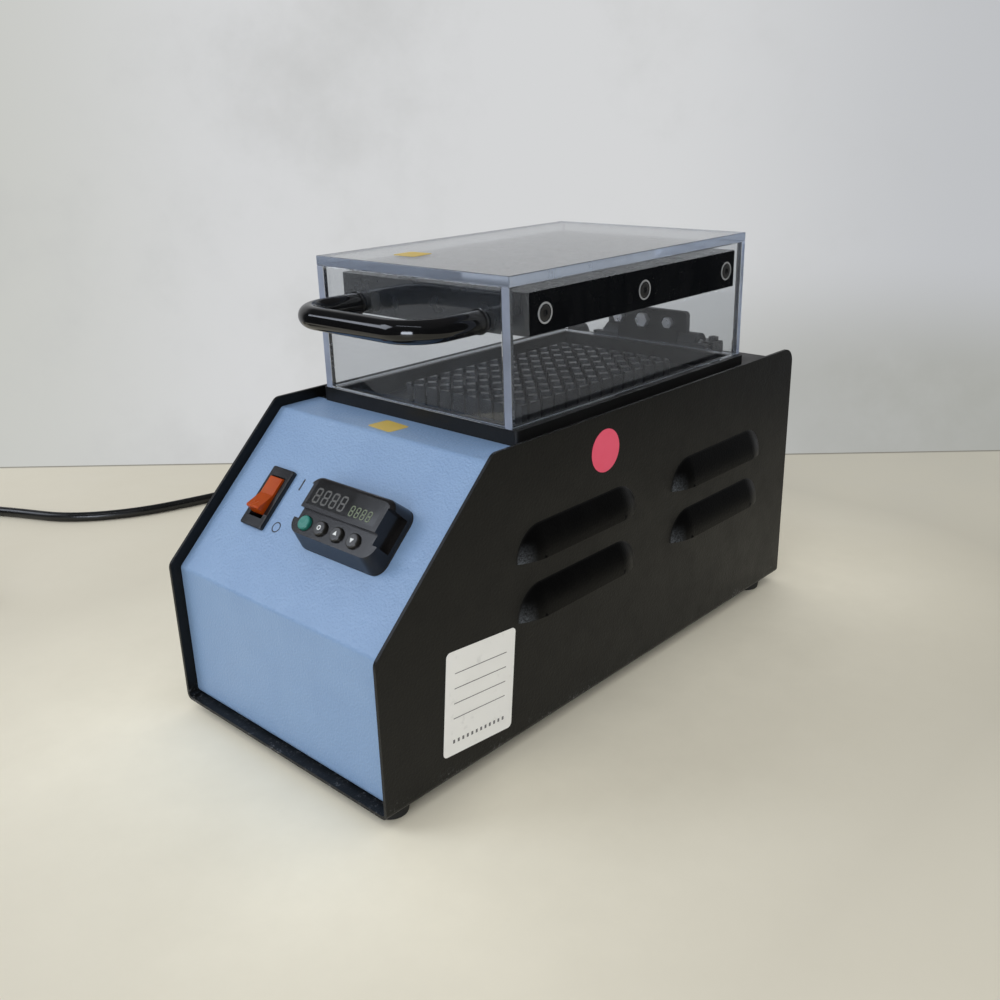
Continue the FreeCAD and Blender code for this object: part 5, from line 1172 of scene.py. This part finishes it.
@dataclass
class Stickers:
    """Plain stickers on the case and the cover."""

    side: float = 0.0725
    film: float = 0.00012
    ink: float = 0.00005
    label_corners: tuple[Pair, ...] = (
        (-0.1195, 0.0648), (-0.0785, 0.0608), (-0.0807, 0.0135), (-0.1222, 0.0175))
    label_corner: float = 0.0022
    rules: int = 4
    rule: Pair = (0.0310, 0.00035)
    first_rule: float = 0.0135
    rule_pitch: float = 0.0068
    ticks: int = 12
    tick: Pair = (0.0011, 0.0016)
    tick_pitch: float = 0.0027
    tick_line: float = -0.0175
    dot_radius: float = 0.0100
    dot_rim: float = 0.0003
    dot_middle: Pair = (-0.0150, 0.1240)
    dot_sides: int = 64
    patch_corner: float = 0.0015
    patches: tuple[Patch, ...] = (
        Patch("strip_patch", (0.0165, 0.0115), (-0.0032, -0.0763, 0.1360), -0.08, "case", "panel_blue"),
        Patch("cover_patch", (0.0140, 0.0125), (-0.0240, -0.0370, 0.2062), 0.05, "lid", "clear_acrylic"))

    def label(self, palette: Palette) -> None:
        """Stick the ruled label on the right-hand side.

        Args:
            palette: The finishes.
        """
        high_front, high_rear, low_rear, low_front = (Vector(corner) for corner in self.label_corners)
        middle = (high_front + high_rear + low_rear + low_front) / 4
        across = (high_rear - high_front + low_rear - low_front) / 2
        down = (high_front - low_front + high_rear - low_rear) / 2
        stand = upright(self.side, *middle) @ turned(math.atan2(across.y, across.x))
        sheet = thin_plate("side_label", (across.length, down.length), self.label_corner, self.film)
        settle(sheet, stand)
        palette.dress(sheet, "sticker_white")
        handed(sheet, "case")
        lines = []
        for step in range(self.rules):
            rule = thin_plate(f"rule_{step + 1}", self.rule, 0.0, self.ink)
            spot = (0.0, self.first_rule - step * self.rule_pitch, self.film)
            lines.append(settle(rule, stand @ Matrix.Translation(spot)))
        for step in range(self.ticks):
            tick = thin_plate(f"tick_{step + 1}", self.tick, 0.0, self.ink)
            spot = ((step - (self.ticks - 1) / 2) * self.tick_pitch, self.tick_line, self.film)
            lines.append(settle(tick, stand @ Matrix.Translation(spot)))
        rules = joined(lines, "label_rules")
        palette.dress(rules, "ink_grey")
        handed(rules, "case")

    def dot(self, palette: Palette) -> None:
        """Stick the round dot on the right-hand side.

        Args:
            palette: The finishes.
        """
        dot = started("round_dot", bpy.ops.mesh.primitive_circle_add, radius=self.dot_radius,
                      vertices=self.dot_sides, fill_type="NGON")
        with editing(dot):
            bpy.ops.mesh.select_all(action="SELECT")
            bpy.ops.mesh.inset(thickness=self.dot_rim, depth=0.0)
            thickened(self.film)
        settle(dot, upright(self.side, *self.dot_middle))
        palette.dress(dot, "sticker_pink")
        handed(dot, "case")

    def build(self, palette: Palette) -> None:
        """Stick the label, its ruled lines, the round dot and the two patches.

        Args:
            palette: The finishes.
        """
        self.label(palette)
        self.dot(palette)
        for patch in self.patches:
            piece = thin_plate(patch.name, patch.size, self.patch_corner, self.film)
            settle(piece, Matrix.Translation(patch.middle) @ turned(patch.turn))
            palette.dress(piece, "sticker_yellow")
            handed(piece, patch.body)
        LOG.info("stickers: 5 pieces")


@dataclass
class ClearCover:
    """The cover, glued from five sheets of clear acrylic with frosted screw seats in its sides."""

    width: float = 0.1228
    front: float = -0.0643
    rear: float = 0.1164
    low: float = 0.1428
    top: float = 0.2062
    wall: float = 0.0045
    joint: float = 0.00002
    edge_round: float = 0.00035
    seat_radius: float = 0.0046
    seat_bore: float = 0.0038
    seat_thick: float = 0.0001
    seat_sides: int = 36
    seat_height: float = 0.1886
    seat_first: float = 0.0218
    seat_pitch: float = 0.0707
    seats: int = 3

    def sheet(self, name: str, low: Spot, high: Spot, rims: Callable[[Vector, Vector], bool],
              palette: Palette, finish: str = "clear_acrylic") -> bpy.types.Object:
        """Cut one sheet, round its edges and mark its sawn, lower and glued rims.

        Args:
            name: The sheet's name.
            low: Its lowest corner.
            high: Its highest corner.
            rims: Says which faces are sawn rims, by middle and normal.
            palette: The finishes.
            finish: The finish of its faces.

        Returns:
            The sheet.
        """
        middle = tuple((first + last) / 2 for first, last in zip(low, high))
        sheet = started(name, bpy.ops.mesh.primitive_cube_add, size=1.0, location=middle)
        sheet.scale = tuple(last - first for first, last in zip(low, high))
        settle(sheet)
        lies_flat = finish == "cover_lid"
        edge = "acrylic_edge" if lies_flat else "acrylic_post"
        for slot in (finish, edge, "acrylic_rim", "glued_joint"):
            sheet.data.materials.append(palette.materials[slot])
        marked = [(SheetFace.SAWN, rims)]
        if not lies_flat:
            marked += [(SheetFace.LOWER_RIM, lambda spot, normal: normal.z < -SQUARE_ON),
                       (SheetFace.GLUED, lambda spot, normal: normal.z > SQUARE_ON)]
        with editing(sheet):
            bpy.ops.mesh.select_all(action="SELECT")
            bpy.ops.mesh.bevel(offset=self.edge_round, segments=2, affect="EDGES")
            for face, test in marked:
                if pick(sheet, test):
                    sheet.active_material_index = face.value
                    bpy.ops.object.material_slot_assign()
        return sheet

    def cut(self, palette: Palette) -> list[bpy.types.Object]:
        """Cut the five sheets.

        Args:
            palette: The finishes.

        Returns:
            The top, the two sides, the front and the rear.
        """
        half, inner = self.width / 2, self.width / 2 - self.wall
        ceiling = self.top - self.wall
        sheets = [self.sheet("cover_top", (-half, self.front, ceiling + self.joint),
                             (half, self.rear, self.top), lambda spot, normal: abs(normal.z) < STANDING,
                             palette, "cover_lid")]
        for name, side in (("cover_left", -1), ("cover_right", 1)):
            near, far = sorted((side * inner, side * half))
            sheets.append(self.sheet(name, (near, self.front, self.low), (far, self.rear, ceiling),
                                     lambda spot, normal: abs(normal.y) > SQUARE_ON, palette))
        for name, start, finish in (("cover_front", self.front, "front_sheet"),
                                    ("cover_rear", self.rear - self.wall, "clear_acrylic")):
            sheets.append(self.sheet(name, (-inner + self.joint, start, self.low),
                                     (inner - self.joint, start + self.wall, ceiling),
                                     lambda spot, normal: False, palette, finish))
        return sheets

    def build(self, palette: Palette) -> None:
        """Glue the five sheets and set the screw seats.

        Args:
            palette: The finishes.
        """
        for sheet in self.cut(palette):
            handed(sheet, "lid")
            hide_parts("cover_box")
        for name, side in (("left", -1), ("right", 1)):
            for step in range(self.seats):
                seat = flat_ring(f"screw_seat_{name}_{step + 1}", self.seat_radius, self.seat_bore,
                                 self.seat_thick, self.seat_sides)
                across = self.front + self.seat_first + step * self.seat_pitch
                settle(seat, upright(side * self.width / 2, across, self.seat_height, side))
                palette.dress(seat, "frosted")
                handed(seat, "lid")
        LOG.info("cover: 5 sheets and 6 screw seats")


@dataclass
class KeyMarks:
    """Small marks on the caps of the keys: a ring, an arrow up and an arrow down."""

    slope: ControlSlope
    middle: Pair = (0.0205, 0.0470)
    first: float = -0.0179
    pitch: float = 0.0105
    line: float = -0.0072
    cap: float = 0.0120
    ink: float = 0.00006
    ring_radius: float = 0.0011
    ring_bore: float = 0.00065
    ring_sides: int = 24
    arrow_radius: float = 0.0013

    def build(self, palette: Palette) -> None:
        """Print one mark on each of the three grey keys.

        Args:
            palette: The finishes.
        """
        marks = [flat_ring("key_mark_ring", self.ring_radius, self.ring_bore, self.ink, self.ring_sides)]
        for name, turn in (("key_mark_up", 0.0), ("key_mark_down", math.pi)):
            arrow = started(name, bpy.ops.mesh.primitive_circle_add, radius=self.arrow_radius, vertices=3,
                            fill_type="NGON")
            with editing(arrow):
                thickened(self.ink)
            marks.append(settle(arrow, turned(turn)))
        across, along = self.middle
        for index, mark in enumerate(marks, 1):
            place = self.slope.place(across + self.first + index * self.pitch, along + self.line, self.cap)
            settle(mark, place)
            palette.dress(mark, "key_mark")
            handed(mark, f"key_{index + 1}")
        LOG.info("key marks: 3 pieces")


@dataclass
class SupplyCord:
    """The mains cord: loose over the table, then put away as a neat coil with its plug.

    Angles are in degrees about the coil's middle.
    """

    exit: Spot = (-0.0280, 0.2045, 0.0460)
    diameter: float = 0.0065
    length: float = 1.87
    lift: float = 0.00325
    coil_middle: Pair = (-0.4367, -0.1640)
    wide: float = 0.04525
    tight: float = 0.03175
    first_turn: float = 131.6
    inward_turns: float = 720.0
    climb: float = 120.0
    last_turn: float = 1710.0
    step: float = 30.0
    strap_width: float = 0.013
    strap_thick: float = 0.0009
    strap_play: float = 0.0006
    strap_lift: float = 0.0001
    strap_round: float = 0.48
    strap_turn: float = 200.0
    order: int = 3
    curve_steps: int = 8
    round_steps: int = 5
    strap_steps: int = 6

    def route(self) -> list[Spot]:
        """List the given points from the connector to the coil.

        Returns:
            The points.
        """
        lift = self.lift
        return [
            self.exit, (-0.0280, 0.2345, 0.0460), (-0.0380, 0.2710, 0.0240),
            (-0.0760, 0.2850, lift), (-0.1260, 0.2690, lift), (-0.1740, 0.2350, lift),
            (-0.2200, 0.1970, lift), (-0.2600, 0.1540, lift), (-0.2900, 0.1050, lift),
            (-0.3080, 0.0550, lift), (-0.3170, 0.0100, lift), (-0.3310, -0.0380, lift),
            (-0.3600, -0.0760, lift), (-0.4030, -0.0950, lift), (-0.4450, -0.1174, lift),
        ]

    def turns(self) -> list[Spot]:
        """Work out the coil: two turns inwards on the table, then outwards on top.

        Returns:
            Twelve points for each turn.
        """
        points = []
        angle = self.first_turn
        low_end = self.first_turn + self.inward_turns
        climb_end = low_end + self.climb
        while angle <= self.last_turn:
            if angle <= low_end:
                share = (angle - self.first_turn) / self.inward_turns
                radius = self.wide + (self.tight - self.wide) * share
                height = self.lift
            else:
                share = max(0.0, (angle - climb_end) / (self.last_turn - climb_end))
                radius = self.tight + (self.wide - self.tight) * share
                height = self.lift + self.diameter * min(1.0, (angle - low_end) / self.climb)
            reach = radius / math.cos(math.radians(self.step / 2))
            points.append((self.coil_middle[0] + reach * math.cos(math.radians(angle)),
                           self.coil_middle[1] + reach * math.sin(math.radians(angle)), height))
            angle += self.step
        return points

    def tail(self) -> list[Spot]:
        """Give the points from the coil to the plug."""
        return [(-0.4197, -0.2090, 0.0085), (-0.3950, -0.2105, 0.0045), (-0.3680, -0.2075, self.lift),
                (-0.3460, -0.2090, 0.0063), (-0.3300, -0.2090, 0.0063)]

    def build(self, palette: Palette) -> None:
        """Lay the cord and tie its coil.

        Args:
            palette: The finishes.
        """
        points = self.route() + self.turns() + self.tail()
        curve = bpy.data.curves.new("supply_cord", "CURVE")
        curve.dimensions = "3D"
        spline = curve.splines.new("NURBS")
        spline.points.add(len(points) - 1)
        for point, spot in zip(spline.points, points):
            point.co = (*spot, 1.0)
        spline.order_u = self.order
        spline.use_endpoint_u = True
        curve.resolution_u = self.curve_steps
        curve.bevel_depth = self.diameter / 2
        curve.bevel_resolution = self.round_steps
        curve.use_fill_caps = True
        cord = bpy.data.objects.new("supply_cord", curve)
        bpy.context.collection.objects.link(cord)
        palette.dress(cord, "cord_black")
        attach(cord, "case")
        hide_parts("cord_tube", "cord_coil", "cord_tail")
        strap = self.strap(palette)
        LOG.info("cord: %d points", len(points))

    def strap(self, palette: Palette) -> bpy.types.Object:
        """Wrap a fabric strap round the turns of the coil.

        Args:
            palette: The finishes.

        Returns:
            The strap.
        """
        middle = (self.wide + self.tight) / 2
        strap = started("coil_strap", bpy.ops.mesh.primitive_cube_add, size=1.0)
        across = self.wide - self.tight + self.diameter + self.strap_play
        strap.scale = (across, self.strap_width, 2 * self.diameter)
        settle(strap)
        with editing(strap):
            pick(strap, lambda spot, way: abs(way.y) > SQUARE_ON, Kind.EDGE)
            bpy.ops.mesh.bevel(offset=self.diameter * self.strap_round, segments=self.strap_steps,
                               affect="EDGES")
            pick(strap, lambda spot, normal: abs(normal.y) > SQUARE_ON)
            bpy.ops.mesh.delete(type="FACE")
        hardened(strap, "SOLIDIFY", thickness=self.strap_thick, offset=1.0)
        with editing(strap):
            faced_outwards()
        turn = math.radians(self.strap_turn)
        place = Matrix.Translation((self.coil_middle[0] + middle * math.cos(turn),
                                    self.coil_middle[1] + middle * math.sin(turn),
                                    self.diameter + self.strap_lift))
        settle(strap, place @ turned(turn))
        palette.dress(strap, "strap")
        return handed(strap, "case")


@dataclass(frozen=True)
class Lamp:
    """A soft lamp of the room, with the lengths of its sides and its power in watts."""

    name: str
    spot: Spot
    size: Pair
    power: float
    aim: Spot = (0.0, 0.0, 0.1)
    lights: bool = True
    colour: Colour = (0.90, 0.97, 1.10)

    def hang(self) -> None:
        """Hang the lamp, which lights matt surfaces or is only seen in gloss."""
        data = bpy.data.lights.new(self.name, "AREA")
        data.shape = "RECTANGLE"
        data.size, data.size_y = self.size
        data.energy = self.power
        data.color = self.colour
        lamp = bpy.data.objects.new(self.name, data)
        bpy.context.collection.objects.link(lamp)
        lamp.location = self.spot
        lamp.rotation_euler = (Vector(self.aim) - Vector(self.spot)).to_track_quat("-Z", "Y").to_euler()
        lamp.visible_diffuse = self.lights


@dataclass
class Studio:
    """The table, the wall behind it, the light and the camera.

    A fade is a pair: where a colour starts to come in and where it is full. On the wall it
    is how far a ray points along the wall, ahead or up. On the table it is metres.
    """

    camera_spot: Spot = (0.341686, -0.370633, 0.266648)
    sensor: float = 36.0
    nearest: float = 0.01
    azimuth: float = 43.281
    elevation: float = 20.393
    roll: float = -1.591
    lens: float = 37.455
    table_line: tuple[Pair, Pair] = ((-0.5312, -0.0528), (0.0883, 0.4914))
    table_end: float = 0.075
    table_length: float = 1.0
    table_depth: float = 4.0
    paint_bright: Colour = photo_colour(218, 212, 195)
    # Painted shade: the table grows darker towards its far right.
    painted_shade_far: Colour = photo_colour(190, 186, 172)
    painted_shade_way: Pair = (0.60, -0.55)
    painted_shade_reach: Pair = (-0.08, 0.38)
    # Painted light: the table is paler round the foot of the case.
    painted_light_round_case: Colour = photo_colour(245, 239, 220)
    case_half: Pair = (0.0725, 0.155)
    painted_light_reach: Pair = (0.03, 0.15)
    stain: Colour = photo_colour(206, 200, 182)
    stains: Noise = (9.0, 7.0, 0.65)
    stain_share: float = 0.35
    table_level: float = 0.3
    sheen: Pair = (18.0, 3.0)
    sheen_rough: Pair = (0.45, 0.6)
    # Painted shade: a dark line where the table meets the wall.
    wall_line_shade: Colour = photo_colour(120, 116, 106)
    wall_line_shade_share: float = 0.85
    wall_line_shade_band: Pair = (0.0015, 0.0045)
    wall_along: Spot = (0.728, 0.686, 0.0)
    wall_ahead: Spot = (-0.660, 0.751, 0.0)
    wall: Colour = photo_colour(212, 213, 214)
    # Painted shade on the wall: towards the left, towards the right, and low down at the right.
    wall_shade_left: Colour = photo_colour(199, 200, 195)
    left_fade: Pair = (-0.20, -0.46)
    wall_shade_right: Colour = photo_colour(191, 193, 196)
    right_fade: Pair = (0.12, 0.44)
    wall_shade_low_right: Colour = photo_colour(168, 169, 164)
    corner_fade: Pair = (-0.10, 0.42)
    corner_drop: Pair = (-0.12, -0.24)
    wall_cloud: Colour = photo_colour(188, 189, 188)
    clouds: Noise = (5.5, 7.0, 0.62)
    cloud_share: float = 0.55
    cloud_fade: Pair = (0.45, 0.80)
    wall_end: Pair = (0.55, 0.20)
    mirrored_wall: Colour = (0.50, 0.505, 0.515)
    mirrored_fade: Pair = (0.30, 0.62)
    mirrored_top: Pair = (0.62, 0.42)
    dim_side: Colour = (0.022, 0.024, 0.028)
    ceiling: Colour = (0.10, 0.10, 0.105)
    ceiling_fade: Pair = (0.35, 0.9)
    room: Colour = (1.0, 0.995, 0.975)
    room_level: float = 0.78
    lamps: tuple[Lamp, ...] = (
        Lamp("window_lamp", (-1.9, -1.9, 1.9), (1.5, 1.5), 27.0),
        Lamp("side_lamp", (1.1, -2.9, 0.8), (1.1, 1.1), 13.0),
        Lamp("glint_lamp", (0.75, -1.95, 0.32), (0.9, 0.7), 20.0, aim=(0.0, 0.0, 0.08), lights=False),
        Lamp("ceiling_tube", (0.2, -1.0, 2.2), (1.8, 0.10), 3.0))

    def camera(self) -> None:
        """Set up the camera at the photograph's angle."""
        data = bpy.data.cameras.new("view_camera")
        data.sensor_width = self.sensor
        data.lens = self.lens
        data.clip_start = self.nearest
        camera = bpy.data.objects.new("view_camera", data)
        bpy.context.collection.objects.link(camera)
        turn, lift, roll = (math.radians(angle) for angle in (self.azimuth, self.elevation, self.roll))
        ahead = Vector((-math.sin(turn) * math.cos(lift), math.cos(turn) * math.cos(lift), -math.sin(lift)))
        right = Vector((math.cos(turn), math.sin(turn), 0.0))
        up = right.cross(ahead)
        across = right * math.cos(roll) + up * math.sin(roll)
        upward = -right * math.sin(roll) + up * math.cos(roll)
        camera.matrix_world = Matrix.Translation(self.camera_spot) @ Matrix(
            (across, upward, -ahead)).transposed().to_4x4()
        bpy.context.scene.camera = camera

    def table_finish(self, along: Vector, front: Vector, line: float) -> bpy.types.Material:
        """Paint the table top: painted shade towards its far right, painted light round the case and a
        painted shade line at the wall.

        Args:
            along: Direction of the table's far edge.
            front: Direction away from the wall.
            line: How far the wall is, against that direction.

        Returns:
            The material.
        """
        recipe = Recipe("table_finish")
        recipe.set(Specular_IOR_Level=self.table_level)
        # Painted shade towards the table's far right.
        dimmer = recipe.toward(along * self.painted_shade_way[0] + front * self.painted_shade_way[1])
        far_shaded_paint = recipe.blend(recipe.ranged(dimmer, 0.0, 1.0, *self.painted_shade_reach), self.paint_bright,
                                 self.painted_shade_far)
        # Painted light, fading out with distance from the case's foot.
        gap = recipe.node("ShaderNodeCombineXYZ")
        for name, reach in zip("XY", self.case_half):
            beside = recipe.math("SUBTRACT", recipe.math("ABSOLUTE", recipe.axis(name)), reach)
            recipe.link(recipe.math("MAXIMUM", beside, 0.0), gap.inputs[name])
        apart = recipe.node("ShaderNodeVectorMath", operation="LENGTH")
        recipe.link(gap.outputs[0], apart.inputs[0])
        near = recipe.ranged(apart.outputs["Value"], 1.0, 0.0, *self.painted_light_reach)
        paint = recipe.blend(near, far_shaded_paint, self.painted_light_round_case)
        marks = recipe.ranged(recipe.noise(*self.stains), 0.0, self.stain_share)
        stained = recipe.blend(marks, paint, self.stain)
        # Painted shade along the line where the table meets the wall.
        wall_line_shade_band = recipe.ranged(recipe.toward(front), self.wall_line_shade_share, 0.0,
                             *(line + reach for reach in self.wall_line_shade_band))
        recipe.steer("Base Color", recipe.blend(wall_line_shade_band, stained, self.wall_line_shade))
        recipe.steer("Roughness", recipe.ranged(recipe.noise(*self.sheen), *self.sheen_rough))
        return recipe.material

    def table(self) -> None:
        """Model the table top, whose far edge is the line where it meets the wall."""
        left, right = (Vector((*spot, 0.0)) for spot in self.table_line)
        along = (right - left).normalized()
        front = Vector((along.y, -along.x, 0.0))
        table = started("table_top", bpy.ops.mesh.primitive_plane_add, size=1.0)
        table.scale = (self.table_length, self.table_depth, 1.0)
        middle = right + along * (self.table_end - self.table_length / 2) + front * self.table_depth / 2
        settle(table, Matrix.Translation(middle) @ turned(math.atan2(along.y, along.x)))
        table.data.materials.append(self.table_finish(along, front, front.dot(left)))

    def sky(self) -> None:
        """Set the plain light of the room and the wall that the camera and reflections see, with painted
        shade on that wall.
        """
        world = bpy.data.worlds.new("room")
        world.use_nodes = True
        bpy.context.scene.world = world
        work = NodeWork(world.node_tree, "Generated")
        out = work.node("ShaderNodeOutputWorld")
        room, seen, mirrored = (work.node("ShaderNodeBackground") for _ in range(3))
        room.inputs["Color"].default_value = (*self.room, 1.0)
        room.inputs["Strength"].default_value = self.room_level
        sideways, ahead = work.toward(self.wall_along), work.toward(self.wall_ahead)
        height = work.toward((0.0, 0.0, 1.0))
        # Painted shade on the wall towards the left and right, and low at the right.
        wall = work.blend(work.fade(sideways, *self.left_fade), self.wall, self.wall_shade_left)
        wall = work.blend(work.fade(sideways, *self.right_fade), wall, self.wall_shade_right)
        corner = work.math("MULTIPLY", work.fade(sideways, *self.corner_fade),
                           work.fade(height, *self.corner_drop))
        wall = work.blend(corner, wall, self.wall_shade_low_right)
        clouds = work.fade(work.noise(*self.clouds), *self.cloud_fade)
        wall = work.blend(work.math("MULTIPLY", clouds, self.cloud_share), wall, self.wall_cloud)
        work.link(work.blend(work.fade(ahead, *self.wall_end), wall, self.wall), seen.inputs["Color"])
        dark_room = work.blend(work.fade(height, *self.ceiling_fade), self.dim_side, self.ceiling)
        facing = work.math("MULTIPLY", work.fade(ahead, *self.mirrored_fade),
                           work.fade(height, *self.mirrored_top))
        work.link(work.blend(facing, dark_room, self.mirrored_wall), mirrored.inputs["Color"])
        path = work.node("ShaderNodeLightPath").outputs
        straight = work.math("MAXIMUM", path["Is Camera Ray"], path["Is Transmission Ray"])
        plain = work.mixed(path["Is Glossy Ray"], room.outputs[0], mirrored.outputs[0])
        work.link(work.mixed(straight, plain, seen.outputs[0]), out.inputs["Surface"])

    def build(self) -> None:
        """Set up camera, table, room light and lamps."""
        self.camera()
        self.table()
        self.sky()
        for lamp in self.lamps:
            lamp.hang()
        bpy.context.scene.view_settings.view_transform = "Standard"
        LOG.info("studio: camera, table and light")


def save_sizes() -> None:
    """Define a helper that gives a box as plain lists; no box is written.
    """
    def plain(box: object) -> list[list[float]]:
        """Give a box as plain lists."""
        return [[float(number) for number in corner] for corner in box]


def main() -> None:
    """Build the scene in order and report each piece."""
    logging.basicConfig(level=logging.INFO, format="%(message)s")
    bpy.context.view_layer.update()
    Studio().build()
    palette = Palette()
    SupplyCord().build(palette)
    Casework().dress(palette)
    slope = ControlSlope()
    PanelMarks(slope).build(palette)
    ControlSeal(slope).build(palette)
    SegmentDisplay(slope).build(palette)
    KeyMarks(slope).build(palette)
    Stickers().build(palette)
    ClearCover().build(palette)
    save_sizes()


if __name__ == "__main__":
    main()
